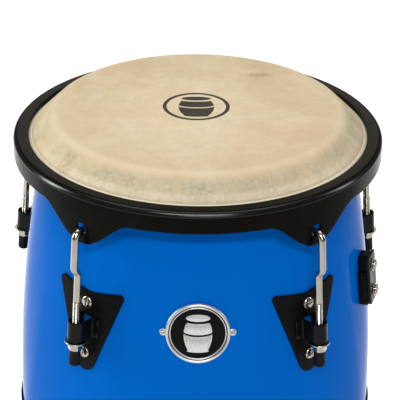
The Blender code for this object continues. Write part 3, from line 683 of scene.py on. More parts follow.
foot = SHELL_BOTTOM - GAP
ring = filleted(
    [(shell_r(foot + 10) + GAP, foot + 10, 0.3), (shell_r(foot + 9) + 3.0, foot + 9, 1.4), (FOOT_R + 2.4, -HEIGHT, 2.2), (FOOT_R - WALL - 2.0, -HEIGHT, 1.0),
     (shell_r(foot + 7.5) - WALL - GAP - 3.0, foot + 7.5, 1.0), (shell_r(foot + 7.5) - WALL - GAP, foot + 7.5, 0.2), (shell_r(foot) - WALL - GAP, foot, 0.2), (shell_r(foot) + GAP, foot, 0.2)],
    5,
)
verts, faces, _ = revolve(ring, 240)
place("base_ring_rubber", mesh_of("base_ring_rubber", verts, faces, [RUBBER]), "drum", ["base_ring"], LIFT)

# ---- head: one hide from the middle of the playing surface to its tuck under the hoop -----------
touch_angle = 90 - SLOPE
flat = [(0.0, 0.0)] + [(edge_c * i / 26, 0.0) for i in range(1, 26)]
length = math.hypot(touch[0] - over_edge(0.0, 2)[-1][0], touch[1] - over_edge(0.0, 2)[-1][1])
slope_out = [along_slope(length * i / 34, 0.0) for i in range(1, 34)]
slope_in = [along_slope(length * i / 34, SKIN) for i in range(33, 0, -1)]
upper_side = flat + over_edge(0.0, 10) + slope_out + arc((HOOP_R, HOOP_Z), wrap_r, touch_angle, -150, 34)
under_side = arc((HOOP_R, HOOP_Z), wrap_r - SKIN, -150, touch_angle, 26) + slope_in + over_edge(SKIN, 10)[::-1] + [(r, -SKIN) for r, z in flat[::-1]]


def skin_warp(p):
    """Uneven thickness and small puckers where the wet hide was tucked round its hoop."""
    x, y, z = p
    r = math.hypot(x, y)
    if r < 1:
        return p
    t = math.atan2(x, -y)
    u, v = math.cos(t), math.sin(t)
    near = smooth((r - 128) / 20)
    slow = noise.noise(Vector((u * 2.2, v * 2.2, 4.0)))
    quick = noise.noise(Vector((u * 11.0, v * 11.0, r * 0.02)))
    pucker = noise.noise(Vector((u * 30.0, v * 30.0, r * 0.03)))
    d = near * (0.16 * slow + 0.12 * quick) + 0.10 * smooth((r - 140) / 8) * pucker
    if z > -27:
        d -= 0.45 * math.exp(-(((r - 150.2) / 0.7) ** 2))
    flatness = 0.05 * noise.noise(Vector((x * 0.03, y * 0.03, 1.0))) * (1 - near)
    return (x * (r + 0.3 * d) / r, y * (r + 0.3 * d) / r, z + d * 0.9 + flatness - 0.05)


verts, faces, _ = revolve(upper_side + under_side, 288, skin_warp, closed=False)
head = place("head_hide", mesh_of("head_hide", verts, faces, [HIDE], angle=60.0), None, ["drumhead", "head_collar"], LIFT, ride=False)
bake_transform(head)

verts, faces, _ = revolve(arc((HOOP_R, HOOP_Z), HOOP_WIRE, 0, -337.5, 15), 240)
place("flesh_hoop_wire", mesh_of("flesh_hoop_wire", verts, faces, [ZINC]), "rim", ["flesh_hoop"], LIFT)

# ---- rim -----------------------------------------------------------------------------------------


def wall_bottom(angle):
    off = min(abs((angle - a + 180) % 360 - 180) for a in ANGLES)
    if off >= EAR_HALF:
        return RIM_WALL_BOTTOM
    t = 1 - off / EAR_HALF
    flank = smooth(t / 0.86) if t < 0.86 else 1.0
    round_tip = math.sqrt(max(0.0, 1 - ((off / 3.6) ** 2))) if off < 3.6 else 0.0
    return RIM_WALL_BOTTOM - (EAR_DROP - 2.6) * flank - 2.6 * round_tip


def rim_section(angle):
    bottom = wall_bottom(angle)
    inner_r = RIM_R - RIM_STEEL
    out = arc((RIM_LIP_R + 1.5, RIM_TOP - 1.5), 1.5, 250, 90, 9)
    out += arc((RIM_R - 4.8, RIM_TOP - 4.8), 4.8, 90, 0, 10)
    out += [(RIM_R, -24.8 + (bottom + 1.0 + 24.8) * i / 6) for i in range(1, 6)]
    out += arc((RIM_R - 1.0, bottom + 1.0), 1.0, 0, -90, 4)
    out += arc((inner_r + 0.7, bottom + 0.7), 0.7, -90, -180, 3)
    out += [(inner_r, -24.8 + (bottom + 0.7 + 24.8) * i / 6) for i in range(5, 0, -1)]
    out += arc((RIM_R - 4.8, RIM_TOP - 4.8), 4.8 - RIM_STEEL, 0, 90, 5)
    return out


rings = []
column = 0.5
for i in range(int(360 / column)):
    t = math.radians(i * column)
    rings.append([(r * math.sin(t), -r * math.cos(t), z) for r, z in rim_section(i * column)])
rim_verts, rim_faces = loft(rings, close_path=True)
roll = [1 if 13 <= i % len(rings[0]) <= 19 else 0 for i in range(len(rim_faces))]
rim_mesh = mesh_of("rim_steel", rim_verts, rim_faces, [COAT, ROLL_COAT], roll)
hole_w, hole_hi, hole_lo = EAR_HOLE
hole = rounded_box((hole_w, hole_hi - hole_lo, 20.0), 3.0, 8)
tools = []
for a in ANGLES:
    at = Matrix.Rotation(math.radians(a), 4, "Z") @ Matrix.Translation((0, -RIM_R * MM, (hole_hi + hole_lo) / 2 * MM)) @ Matrix.Rotation(math.radians(90), 4, "X")
    tools.append((hole, at))
rim_mesh = bevelled(boolean(rim_mesh, tools), 0.45, 3, limit=50.0)
place("rim_steel", rim_mesh, "rim", ["rim"], LIFT)

# ---- side plates ------------------------------------------------------------------------------------
corner_x = 37.3
plate_outline = filleted(
    [(0.0, -116.8, 30.0), (corner_x, -116.8 + 0.165 * corner_x, 3.6), (0.0, -209.5, 9.3), (-corner_x, -116.8 + 0.165 * corner_x, 3.6)],
    12,
)


def plate_mesh():
    bm = bmesh.new()
    bm.faces.new([bm.verts.new((x, y, 0.0)) for x, y in plate_outline])
    for axis, places in ((0, range(-36, 37, 3)), (1, range(-204, -108, 4))):
        for at in places:
            geom = bm.verts[:] + bm.edges[:] + bm.faces[:]
            co, no = ((at + 0.013, 0, 0), (1, 0, 0)) if axis == 0 else ((0, at + 0.017, 0), (0, 1, 0))
            bmesh.ops.bisect_plane(bm, geom=geom, plane_co=co, plane_no=no, dist=1e-4)
    for v in bm.verts:
        x, z = v.co.x, v.co.y
        r = shell_r(z) + GAP
        t = x / (shell_r(-150.0) + GAP)
        v.co = Vector((r * math.sin(t), -r * math.cos(t), z)) * MM
    mesh = bpy.data.meshes.new("plate")
    bm.to_mesh(mesh)
    bm.free()
    if mesh.polygons[0].normal.y > 0:
        mesh.flip_normals()
    mesh.materials.append(PLATE_COAT)
    o = temporary(mesh)
    s = o.modifiers.new("Solidify", "SOLIDIFY")
    s.thickness, s.offset = PLATE * MM, 1.0
    thick = evaluated(o)
    bpy.data.objects.remove(o)
    window = rounded_box((10.4, 22.0, 40.0), 2.0)
    cuts = [(window, Matrix.Translation((0, -162 * MM, -149.5 * MM)) @ Matrix.Rotation(math.radians(90), 4, "X"))]
    bolt_hole = mesh_of("hole", *prism(arc((0, 0), BOLT_R + GAP, 0, 345, 23), -15.0, 15.0), [])
    down = Matrix.Translation((0, 0, -HEIGHT * MM))
    for z in PLATE_BOLTS:
        cuts.append((bolt_hole, down @ on_shell(0, z)))
    return bevelled(boolean(thick, cuts), 0.5, 3, limit=50.0)


plate = plate_mesh()
for k, a in enumerate(ANGLES, 1):
    place(f"side_plate_steel_{k}", plate, "drum", [f"side_plate_{k}"], station(a))

# ---- lug sleeves, with their spot welds ---------------------------------------------------------------


def foot_depth(u, s):
    tilt = math.radians(TILT)
    v = -14.0
    for _ in range(6):
        z = LUG_Z + s * math.cos(tilt) + v * math.sin(tilt)
        want = math.sqrt((shell_r(z) + GAP + PLATE + GAP) ** 2 - u * u)
        v += (want - (LUG_R - s * math.sin(tilt) + v * math.cos(tilt))) / math.cos(tilt)
    return v


WELDS = [(10.9, -3.6), (10.9, -15.6)]


def sleeve_section(s, shrink=0.0):
    t, wide = SLEEVE_OUT - SLEEVE_IN, 14.0 - shrink
    xs = [wide - (wide - SLEEVE_OUT - 1.4) * i / 12 for i in range(13)]
    right = []
    for i, x in enumerate(xs):
        d = foot_depth(x, s) + t - shrink
        if i == 0:
            right += [(x, d - 0.9), (x - 0.12, d - 0.35), (x - 0.45, d - 0.05)]
            continue
        for wx, ws in WELDS:
            away = math.hypot(x - wx, s - ws)
            d += 0.5 * smooth((2.4 - away) / 1.2) - 0.3 * smooth((1.2 - away) / 1.1)
        right.append((x, d))
    base = foot_depth(SLEEVE_OUT, s) + t - shrink
    right += [(SLEEVE_OUT + 0.65 - shrink, base + 0.16), (SLEEVE_OUT + 0.2 - shrink, base + 0.6), (SLEEVE_OUT - shrink, base + 1.4)]
    out = right + arc((0, 0), SLEEVE_OUT - shrink, 0, 180, 24) + [(-x, v) for x, v in reversed(right)]
    inn_r = SLEEVE_IN + shrink
    inn = [(inn_r, foot_depth(inn_r, s) + 1.4), (inn_r + 0.4, foot_depth(inn_r, s) + 0.4), (inn_r + 1.4, foot_depth(inn_r, s) + shrink * 0.3), (wide, foot_depth(wide, s) + shrink * 0.3)]
    return out + [(-x, v) for x, v in reversed(inn)] + arc((0, 0), inn_r, 180, 0, 24) + inn


rings = []
stations = [(0.0, 0.42), (-0.12, 0.2), (-0.42, 0.0)] + [-0.42 - (SLEEVE_LENGTH - 0.84) * i / 34 for i in range(1, 34)] + [(-SLEEVE_LENGTH + 0.42, 0.0), (-SLEEVE_LENGTH + 0.12, 0.2), (-SLEEVE_LENGTH, 0.42)]
for at in stations:
    s, shrink = at if isinstance(at, tuple) else (at, 0.0)
    rings.append([(u, -v, s) for u, v in sleeve_section(s, shrink)])
sleeve = mesh_of("lug_sleeve", *loft(rings), [SLEEVE_COAT], angle=50.0)
for k, a in enumerate(ANGLES, 1):
    place(f"lug_sleeve_steel_{k}", sleeve, "drum", [f"lug_sleeve_{k}"], lug_frame(a))

# ---- side plate bolts: slotted pan heads outside, washer and hexagon nut inside the shell ----------------


def hexagon_nut(flats, low_z, high_z, bore, columns=96, chamfer=0.6):
    """A hexagon nut whose corners are turned off at both ends."""
    corner = flats / math.sqrt(3)

    def hex_r(t):
        w = (t + math.pi / 6) % (math.pi / 3) - math.pi / 6
        return flats / 2 / math.cos(w)

    levels = []
    cone = flats / 2 * 0.96
    steps = 5
    heights = [(low_z + (corner - cone) * math.tan(math.radians(30)) * i / steps, cone + (corner - cone) * i / steps) for i in range(steps + 1)]
    tops = [(high_z - (z - low_z), r) for z, r in reversed(heights)]
    levels = heights + tops
    rings = [[(bore * math.cos(2 * math.pi * j / columns), bore * math.sin(2 * math.pi * j / columns), low_z + chamfer * 0.6) for j in range(columns)],
             [((bore + chamfer) * math.cos(2 * math.pi * j / columns), (bore + chamfer) * math.sin(2 * math.pi * j / columns), low_z) for j in range(columns)]]
    for z, limit in levels:
        ring = []
        for j in range(columns):
            t = 2 * math.pi * j / columns
            r = min(hex_r(t), limit)
            ring.append((r * math.cos(t), r * math.sin(t), z))
        rings.append(ring)
    rings += [[((bore + chamfer) * math.cos(2 * math.pi * j / columns), (bore + chamfer) * math.sin(2 * math.pi * j / columns), high_z) for j in range(columns)],
              [(bore * math.cos(2 * math.pi * j / columns), bore * math.sin(2 * math.pi * j / columns), high_z - chamfer * 0.6) for j in range(columns)]]
    return loft(rings, close_path=True)


def gathered(parts):
    """Several (verts, faces) as one."""
    verts, faces = [], []
    for v, f in parts:
        base = len(verts)
        verts += v
        faces += [tuple(i + base for i in face) for face in f]
    return verts, faces


def threaded(radius, low_z, high_z, pitch, depth, columns=20, per_pitch=6):
    """A threaded rod's surface, closed by its two flat ends."""
    rings = []
    n = int((high_z - low_z) / pitch * per_pitch)
    for i in range(n + 1):
        z = low_z + (high_z - low_z) * i / n
        fade = min(1.0, (z - low_z) / pitch, (high_z - z) / pitch)
        ring = []
        for j in range(columns):
            ph = (z / pitch - j / columns) % 1.0
            tri = abs(2 * ph - 1)
            r = radius - depth * (1 - min(1.0, max(0.0, (tri - 0.12) / 0.76))) * max(0.0, fade) - 0.5 * max(0.0, 0.6 - fade)
            ring.append((r * math.cos(2 * math.pi * j / columns), r * math.sin(2 * math.pi * j / columns), z))
        rings.append(ring)
    return loft(rings)


grip = GAP + PLATE + GAP
inner_face = -(WALL + 1.7)


def pan_head(radius, base, height, slot_w=1.3, slot_d=1.5):
    profile = [(0.0, base + height)]
    for i in range(1, 13):
        t = i / 12
        r = radius * math.sin(t * math.pi / 2) ** 0.9
        profile.append((r, base + 0.75 + (height - 0.75) * math.cos(t * math.pi / 2) ** 0.55))
    profile += [(radius, base + 0.3), (radius - 0.3, base), (BOLT_R, base), (BOLT_R, base - 2.4), (0.0, base - 2.4)]
    verts, faces, _ = revolve(profile, 64, closed=False)
    head = mesh_of("pan", verts, faces, [NICKEL], angle=35.0)
    slot = rounded_box((radius * 2.4, slot_w, slot_d * 2), 0.1)
    return bevelled(boolean(head, [(slot, Matrix.Translation((0, 0, (base + height) * MM)))]), 0.12, 2, limit=45.0)


def turned_mesh(name, profile, mat, steps=64, closed=True, angle=35.0):
    verts, faces, _ = revolve(profile, steps, closed=closed)
    return mesh_of(name, verts, faces, [mat], angle=angle)


def joined(name, meshes):
    """Separate closed bodies in one mesh."""
    bm = bmesh.new()
    mats = []
    for m in meshes:
        offset = len(mats)
        mats += list(m.materials)
        before = len(bm.faces)
        bm.from_mesh(m)
        bm.faces.ensure_lookup_table()
        for f in bm.faces[before:]:
            f.material_index += offset
    mesh = bpy.data.meshes.new(name)
    for m in mats:
        mesh.materials.append(m)
    bm.to_mesh(mesh)
    bm.free()
    return mesh


def ring_washer(outer_r, inner_r, low_z, high_z, soften=0.3):
    return filleted([(outer_r, high_z, soften), (outer_r, low_z, soften), (inner_r, low_z, 0.1), (inner_r, high_z, 0.1)], 4)


plate_bolt = joined(
    "side_plate_bolt",
    [
        pan_head(5.4, grip, 3.4),
        mesh_of("shank", *threaded(BOLT_R, inner_face - 8.0, grip - 2.3, 0.8, 0.28), [NICKEL], angle=60.0),
        turned_mesh("washer", ring_washer(8.0, BOLT_R + 0.2, inner_face - 1.4, inner_face), ZINC, 48),
        mesh_of("nut", *hexagon_nut(10.0, inner_face - 6.0, inner_face - 1.5, BOLT_R + 0.05, 72), [ZINC], angle=30.0),
    ],
)
turns = {("upper", 1): 8, ("lower", 1): 24, ("upper", 2): -35, ("lower", 2): 60, ("upper", 3): 15, ("lower", 3): -70, ("upper", 4): 40, ("lower", 4): -10, ("upper", 5): 84, ("lower", 5): 72}
for k, a in enumerate(ANGLES, 1):
    for z, where in zip(PLATE_BOLTS, ("upper", "lower")):
        at = on_shell(a, z) @ Matrix.Rotation(math.radians(turns[(where, k)]), 4, "Z")
        place(f"plate_bolt_{where}_{k}", plate_bolt, "drum", [f"side_plate_bolt_{where}_{k}"], at)

MAJOR_R = 3.5

# ---- lugs -------------------------------------------------------------------------------------------------
washer_top = -SLEEVE_LENGTH - GAP
washer = turned_mesh("lug_washer", ring_washer(WASHER_R, MAJOR_R + 0.15, washer_top - WASHER_T, washer_top, 0.5), NICKEL, 72)
nut_top = washer_top - WASHER_T - GAP
nut_centre = nut_top - NUT_H / 2
nut_mesh = mesh_of("tuning_nut", *hexagon_nut(NUT_FLATS, -NUT_H / 2, NUT_H / 2, MAJOR_R + 0.08, 120), [NICKEL], angle=30.0)

cap_top = nut_top - NUT_H - GAP
cap_low = cap_top - CAP_H
cap_profile = [(0.0, cap_low + 3.0), (MAJOR_R + 0.12, cap_low + 3.0), (MAJOR_R + 0.12, cap_top - 0.3), (MAJOR_R + 0.42, cap_top)]
cap_profile += arc((CAP_R - 0.5, cap_top - 0.5), 0.5, 90, 0, 4)
cap_profile += [(CAP_R, cap_top - 1.6), (CAP_R - 0.12, cap_top - 1.75), (CAP_R - 0.12, cap_low + 3.6)]
cap_profile += arc((CAP_R - 2.62, cap_low + 2.5), 2.5, 0, -90, 10) + [(0.0, cap_low)]
cap = turned_mesh("lug_cap", cap_profile, RUBBER, 56, closed=False, angle=40.0)

S_BEND, BEND_H, KINK, HOOK_S = 43.2, 9.0, 5.2, 84.6
rod_end = cap_low + 3.0 + GAP
THREAD_TOP, PITCH, DEPTH = 19.0, 1.27, 0.4


def hook_path():
    """Centre line as (outward, up), with the thread's end, the offset bend and the hook."""
    pts = []
    per = PITCH / 6
    n = int((THREAD_TOP + 1.0 - rod_end) / per)
    pts += [(0.0, rod_end + (THREAD_TOP + 1.0 - rod_end) * i / n) for i in range(n + 1)]
    pts += [(0.0, THREAD_TOP + 1.0 + (S_BEND - THREAD_TOP - 1.0) * i / 12) for i in range(1, 13)]
    pts += [(KINK * smooth(i / 20), S_BEND + BEND_H * i / 20) for i in range(1, 21)]
    start = HOOK_S - 6.0
    pts += [(KINK, S_BEND + BEND_H + (start - S_BEND - BEND_H) * i / 10) for i in range(1, 10)]
    pts += [(KINK - 6.0 + 6.0 * math.cos(math.radians(t)), start + 6.0 * math.sin(math.radians(t))) for t in range(0, 91, 6)]
    pts += [(-4.8 - 5.0 * math.sin(math.radians(t)), HOOK_S - 5.0 + 5.0 * math.cos(math.radians(t))) for t in range(0, 91, 6)]
    pts += [(-9.8, HOOK_S - 5.0 - 4.5 * i / 3) for i in range(1, 4)]
    return pts


def hook_mesh():
    pts = hook_path()
    columns = 28
    rings = []
    for i, (v, s) in enumerate(pts):
        a = pts[max(0, i - 1)]
        b = pts[min(len(pts) - 1, i + 1)]
        tv, ts = b[0] - a[0], b[1] - a[1]
        size = math.hypot(tv, ts) or 1.0
        tv, ts = tv / size, ts / size
        ring = []
        for j in range(columns):
            ph = 2 * math.pi * j / columns
            r = ROD_R
            if s < THREAD_TOP and v == 0.0:
                fade = min(1.0, max(0.0, (THREAD_TOP - s) / (PITCH * 1.5)))
                phase = (s / PITCH - j / columns) % 1.0
                tri = abs(2 * phase - 1)
                r += fade * (MAJOR_R - ROD_R - DEPTH * (1 - min(1.0, max(0.0, (tri - 0.12) / 0.76))))
            across, along = r * math.cos(ph), r * math.sin(ph)
            ring.append((across, -(v + along * ts), s - along * tv))
        rings.append(ring)
    # softened ends
    def shrunk(ring, centre, by, push):
        return [tuple(centre[k] + (p[k] - centre[k]) * by + push[k] for k in range(3)) for p in ring]

    first, last = rings[0], rings[-1]
    c0, c1 = (0.0, -pts[0][0], pts[0][1]), (0.0, -pts[-1][0], pts[-1][1])
    rings = [shrunk(first, c0, 0.82, (0, 0, 0.0))] + [shrunk(first, c0, 0.98, (0, 0, 0.12))] + rings[1:-1]
    rings += [shrunk(last, c1, 0.97, (0, 0, 0.35)), shrunk(last, c1, 0.86, (0, 0, 0.08)), shrunk(last, c1, 0.6, (0, 0, 0.0))]
    return mesh_of("hook_lug", *loft(rings), [NICKEL], angle=60.0)


hook = hook_mesh()
for k, a in enumerate(ANGLES, 1):
    f = lug_frame(a)
    place(f"hook_lug_rod_{k}", hook, f"lug_{k}", [f"hook_lug_{k}"], f)
    place(f"lug_cap_rubber_{k}", cap, f"lug_{k}", [f"lug_cap_{k}"], f)
    place(f"lug_washer_plated_{k}", washer, "drum", [f"lug_washer_{k}"], f)
    place(f"tuning_nut_plated_{k}", nut_mesh, f"nut_{k}", [f"tuning_nut_{k}"], f @ Matrix.Translation((0, 0, nut_centre * MM)))

# ---- badge --------------------------------------------------------------------------------------------------
badge_seat = on_shell(0, BADGE_Z)


def sag(x, y):
    return -(shell_r(BADGE_Z) - math.sqrt(shell_r(BADGE_Z) ** 2 - x * x)) - UPPER_CURVE * y * y


def on_badge(p):
    return (p[0], p[1], p[2] + sag(p[0], p[1]))


def dished_turning(profile, steps=120):
    verts, faces, _ = revolve(profile, steps, on_badge, closed=profile[0][0] > 0)
    return verts, faces


disc = [(0.0, 1.45)] + [(23.0 * i / 12, 1.45) for i in range(1, 13)] + [(27.0, 1.45), (27.4, 1.3), (27.4, 0.7), (27.2, GAP + 0.3)] + [(23.0 * i / 6, GAP + 0.3) for i in range(6, 0, -1)] + [(0.0, GAP + 0.3)]
place("badge_disc", mesh_of("badge_disc", *dished_turning(disc), [ENAMEL]), "drum", ["badge_plate"], badge_seat)

ring_profile = [(23.3, 1.55), (23.3, 2.2)] + arc((23.95, 2.2), 0.65, 180, 20, 8) + [(24.62, 1.7), (25.12, 1.7)] + arc((26.5, 2.1), 1.4, 165, 0, 10) + [(27.95, 1.3), (27.95, 0.95), (27.55, 0.85), (27.55, 1.55)]
ring_verts, ring_faces, ring_rows = revolve(ring_profile, 120, on_badge)
groove = [1 if 9 <= row <= 12 else 0 for row in ring_rows]
ring_mesh = mesh_of("ring", ring_verts, ring_faces, [SILVER, ENAMEL], groove, angle=40.0)
lobes = []
for sx in (-1, 1):
    x = sx * 29.4
    lean = Matrix.Rotation(math.asin(x / shell_r(BADGE_Z)), 4, "Y")
    at = Matrix.Translation((x * MM, 0, sag(x, 0) * MM)) @ lean
    profile = filleted([(3.2, 1.95, 0.5), (3.2, 0.75, 0.2), (0.0, 0.75, 0), (0.0, 1.95, 0)], 4)
    profile = [(0.0, 1.95)] + [p for p in profile if p[0] > 0] + [(0.0, 0.75)]
    lobe = turned_mesh("lobe", profile, SILVER, 32, closed=False)
    lobe.transform(at)
    lobes.append(lobe)
place("badge_ring_bright", boolean(ring_mesh, [(m, Matrix.Identity(4)) for m in lobes], "UNION"), "drum", ["badge_ring"], badge_seat)
for sx, name in ((-1, "badge_pin_left"), (1, "badge_pin_right")):
    x = sx * 29.8
    lean = Matrix.Rotation(math.asin(x / shell_r(BADGE_Z)), 4, "Y")
    at = badge_seat @ Matrix.Translation((x * MM, 0, sag(x, 0) * MM)) @ lean
    profile = [(0.0, 3.0)] + arc((0, 1.6), 1.75, 80, 10, 6) + [(1.7, 1.75), (0.9, 1.75), (0.9, -7.0), (0.0, -7.6)]
    place(name + "_head", turned_mesh(name, [(r, min(z, 3.0)) for r, z in profile], NICKEL, 28, closed=False), "drum", [name], at)


def figure_mesh():
    """The badge's plain raised drum figure: an ellipse for the head over a waisted barrel."""
    outlines = []
    ellipse = [(8.6 * math.cos(math.radians(t)), 12.0 + 2.7 * math.sin(math.radians(t))) for t in range(0, 360, 6)]
    outlines.append(ellipse)

    def dip(x):
        return -3.2 * math.sqrt(max(0.0, 1 - (x / 10.6) ** 2))

    def half(y):
        return 10.2 - 0.021 * (y + 1.0) ** 2

    def body(top, bottom):
        right, left = [], []
        xs = 24
        y1, y0 = top, bottom
        w1, w0 = half(y1), half(y0)
        pts = [(w1 * (1 - 2 * i / xs), y1 + dip(w1 * (1 - 2 * i / xs))) for i in range(xs + 1)]
        down = [(-half(y1 + dip(w1) + (y0 + dip(w0) - y1 - dip(w1)) * i / 10), y1 + dip(w1) + (y0 + dip(w0) - y1 - dip(w1)) * i / 10) for i in range(1, 10)]
        across = [(-w0 * (1 - 2 * i / xs), y0 + dip(w0 * (1 - 2 * i / xs))) for i in range(xs + 1)]
        up = [(-x, y) for x, y in reversed(down)]
        return pts + down + across + up

    outlines.append(body(10.6, 2.1))
    outlines.append(body(0.5, -11.8))
    parts = []
    for outline in outlines:
        outline = [(x * 1.2, y * 1.2) for x, y in outline]
        n = len(outline)
        cx, cy = sum(p[0] for p in outline) / n, sum(p[1] for p in outline) / n
        mesh = bpy.data.meshes.new("shape")
        bm = bmesh.new()
        bottom = bm.faces.new([bm.verts.new((x, y, 0.0)) for x, y in outline])
        made = bmesh.ops.extrude_face_region(bm, geom=[bottom])
        for v in (g for g in made["geom"] if isinstance(g, bmesh.types.BMVert)):
            v.co.z = 0.85
        for at in range(-10, 11, 2):
            geom = bm.verts[:] + bm.edges[:] + bm.faces[:]
            bmesh.ops.bisect_plane(bm, geom=geom, plane_co=(at + 0.011, 0, 0), plane_no=(1, 0, 0), dist=1e-4)
        for v in bm.verts:
            v.co = Vector(on_badge((v.co.x, v.co.y, v.co.z + 1.35))) * MM
        bmesh.ops.recalc_face_normals(bm, faces=bm.faces)
        bm.to_mesh(mesh)
        bm.free()
        mesh.materials.append(SILVER)
        parts.append(bevelled(mesh, 0.18, 2, limit=50.0))
    return joined("badge_figure", parts)


place("badge_figure", figure_mesh(), "drum", (), badge_seat)

# ---- stand bracket ----------------------------------------------------------------------------------------------
mid = (BRACKET_TOP + BRACKET_BOTTOM) / 2
seat = on_shell(BRACKET_ANGLE, mid)
tall = BRACKET_TOP - BRACKET_BOTTOM


def hugging_block(outline, high_z, mat):
    """An outline in X and Y, extruded out from the shell, its back following the shell."""
    bm = bmesh.new()
    back = bm.faces.new([bm.verts.new((x, y, 0.0)) for x, y in outline])
    made = bmesh.ops.extrude_face_region(bm, geom=[back])
    front = [g for g in made["geom"] if isinstance(g, bmesh.types.BMVert)]
    for v in front:
        v.co.z = high_z
    for axis, places in ((0, (-9, -6, -3, 0, 3, 6, 9)), (1, (-20, -10, 0, 10, 20))):
        for at in places:
            geom = bm.verts[:] + bm.edges[:] + bm.faces[:]
            co, no = ((at + 0.01, 0, 0), (1, 0, 0)) if axis == 0 else ((0, at + 0.01, 0), (0, 1, 0))
            bmesh.ops.bisect_plane(bm, geom=geom, plane_co=co, plane_no=no, dist=1e-4)
    for v in bm.verts:
        if v.co.z < high_z / 2:
            x, y = v.co.x, v.co.y
            v.co.z = -(shell_r(mid) - math.sqrt(shell_r(mid) ** 2 - x * x)) - UPPER_CURVE * y * y + GAP + 0.25
        v.co *= MM
    bmesh.ops.recalc_face_normals(bm, faces=bm.faces)
    mesh = bpy.data.meshes.new("block")
    bm.to_mesh(mesh)
    bm.free()
    mesh.materials.append(mat)
    return mesh


block = hugging_block(
    filleted([(-12.5, -tall / 2, 1.2), (12.5, -tall / 2, 1.2), (12.5, tall / 2 - 14.0, 3.0), (8.5, tall / 2 - 13.4, 1.0), (8.5, tall / 2, 3.0), (-8.5, tall / 2, 3.0), (-8.5, tall / 2 - 13.4, 1.0), (-12.5, tall / 2 - 14.0, 3.0)], 6),
    8.0,
    MOULDING,
)
slot_tool = rounded_box((15.0, 22.0, 20.0), 1.5)
through = mesh_of("through", *prism(arc((0, 0), BOLT_R + GAP, 0, 345, 23), -30.0, 30.0), [])
centres = [(z - mid) / math.cos(math.radians(shell_slope(mid))) for z in BRACKET_BOLTS]
holes = [(through, Matrix.Translation((0, y * MM, 0))) for y in centres]
block = bevelled(boolean(block, [(slot_tool, Matrix.Translation((0, -tall / 2 * MM, 12.2 * MM)))] + holes), 0.7, 4, limit=50.0)
place("bracket_block", block, "drum", ["bracket_body"], seat)

cover = mesh_of("cover", *prism(filleted([(-11.5, -tall / 2, 2.4), (11.5, -tall / 2, 2.4), (11.5, tall / 2, 2.8), (-11.5, tall / 2, 2.8)], 8), 8.3, 11.1), [GREY_COAT])
place("bracket_cover_plate", bevelled(boolean(cover, holes), 0.6, 4, limit=50.0), "drum", ["bracket_cover"], seat)
backing = mesh_of("backing", *prism(filleted([(-12.0, -tall / 2 + 4, 3), (12.0, -tall / 2 + 4, 3), (12.0, tall / 2 - 4, 3), (-12.0, tall / 2 - 4, 3)], 8), -(WALL + 4.85), -(WALL + 2.35)), [ZINC])
place("bracket_backing_steel", bevelled(boolean(backing, holes), 0.5, 3, limit=50.0), "drum", ["bracket_backing_plate"], seat)

f = 11.1 + GAP
h, n = f + 0.9 + GAP, -(WALL + 3.6 + 1.25 + GAP)
bracket_bolt = joined(
    "bracket_bolt",
    [
        pan_head(4.8, h, 2.8, 1.2, 1.3),
        mesh_of("shank", *threaded(BOLT_R, n - 7.0, h - 2.3, 0.8, 0.28), [NICKEL], angle=60.0),
        mesh_of("nut", *hexagon_nut(9.8, n - 5.0, n - 0.1, BOLT_R + 0.05, 72), [ZINC], angle=30.0),
    ],
)
bracket_washer = turned_mesh("bracket_washer", ring_washer(5.9, BOLT_R + GAP, f, f + 0.9, 0.3), NICKEL, 56)
for i, y in enumerate(centres, 1):
    at = seat @ Matrix.Translation((0, y * MM, 0))
    place(f"bracket_bolt_plated_{i}", bracket_bolt, "drum", [f"bracket_bolt_{i}"], at @ Matrix.Rotation(math.radians(80 + 25 * i), 4, "Z"))
    place(f"bracket_washer_plated_{i}", bracket_washer, "drum", [f"bracket_washer_{i}"], at)

# ---- studio --------------------------------------------------------------------------------------------------------
floor_mesh = mesh_of("studio_floor", [(-6000, -6000, -0.3), (6000, -6000, -0.3), (6000, 6000, -0.3), (-6000, 6000, -0.3)], [(0, 1, 2, 3)], [])
floor = bpy.data.objects.new("studio_floor", floor_mesh)
bpy.context.scene.collection.objects.link(floor)
s = Shader("pale_floor", (0.93, 0.93, 0.93), 0.8, Specular_IOR_Level=0.1, Emission_Strength=1.0)
axis = s.split()
off_side = s.math("ABSOLUTE", axis[0])
far_side = s.range(off_side, 1.2, 2.0, 0.0, 1.0, True)
# painted glow: the floor gives off light behind the drum, fading out far to the sides, while its colour stays plain
# pale
painted_glow_behind = s.math("MULTIPLY", s.range(axis[1], 0.38, 0.5, 0.0, 0.6, True), s.math("SUBTRACT", 1.0, far_side))
s.link(painted_glow_behind, s.bsdf.inputs["Emission Color"])
s.colour(s.mix(s.noise(2.5, 3.0), (0.92, 0.92, 0.92), (0.94, 0.94, 0.94)))
floor.data.materials.clear()
floor.data.materials.append(s.mat)


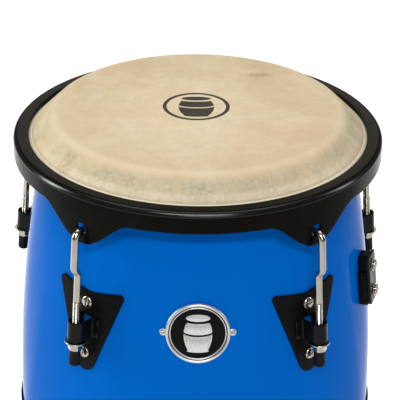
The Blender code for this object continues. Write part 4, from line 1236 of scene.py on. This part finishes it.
def area(name, at, target, size, power, colour=(1.0, 1.0, 1.0)):
    data = bpy.data.lights.new(name, "AREA")
    data.shape, data.size, data.size_y = "RECTANGLE", size[0], size[1]
    data.energy, data.color = power, colour
    o = bpy.data.objects.new(name, data)
    bpy.context.scene.collection.objects.link(o)
    o.location = at
    o.rotation_mode = "QUATERNION"
    o.rotation_quaternion = (Vector(target) - Vector(at)).to_track_quat("-Z", "Y")
    return o


area("left_box", (-2.1, 0.1, 1.15), (0.0, 0.0, 0.45), (0.5, 1.3), 25.0, (0.93, 1.0, 0.95))
area("right_box", (2.1, 0.1, 1.35), (0.0, 0.0, 0.45), (0.5, 1.2), 9.0)
area("top_box", (0.0, 0.3, 2.7), (0.0, 0.0, 0.7), (2.4, 1.6), 21.5, (0.96, 0.975, 1.0))
area("back_box", (0.0, 3.2, 2.4), (0.0, 0.0, 0.7), (3.0, 1.5), 14.0, (1.0, 0.92, 0.8))
area("fill_box", (0.3, -2.9, 1.6), (0.0, 0.0, 0.45), (1.4, 1.2), 15.0)
area("front_box", (-0.1, -2.5, 3.0), (0.0, 0.0, 0.5), (2.0, 0.35), 58.0)

world = bpy.data.worlds.new("studio_light")
world.use_nodes = True
bpy.context.scene.world = world
background = world.node_tree.nodes["Background"]
background.inputs["Color"].default_value = (1.0, 1.0, 1.0, 1.0)
background.inputs["Strength"].default_value = 0.10

cam_data = bpy.data.cameras.new("camera")
cam_data.sensor_width, cam_data.lens = 36.0, 121.33
cam_data.clip_start, cam_data.clip_end = 0.05, 60.0
camera = bpy.data.objects.new("camera", cam_data)
bpy.context.scene.collection.objects.link(camera)
el, roll, distance = math.radians(28.0), math.radians(0.8), 1267.2
aim = Vector((2.7, 0.0, -95.0 + HEIGHT))
forward = Vector((0, math.cos(el), -math.sin(el)))
up0 = Vector((0, math.sin(el), math.cos(el)))
right = Vector((1, 0, 0)) * math.cos(roll) + up0 * math.sin(roll)
up = Vector((1, 0, 0)) * -math.sin(roll) + up0 * math.cos(roll)
m = Matrix((right, up, -forward)).transposed().to_4x4()
m.translation = (aim - forward * distance) * MM
camera.matrix_world = Matrix.Rotation(math.radians(-0.9), 4, "Z") @ m
bpy.context.scene.camera = camera
bpy.context.scene.view_settings.view_transform = "Standard"
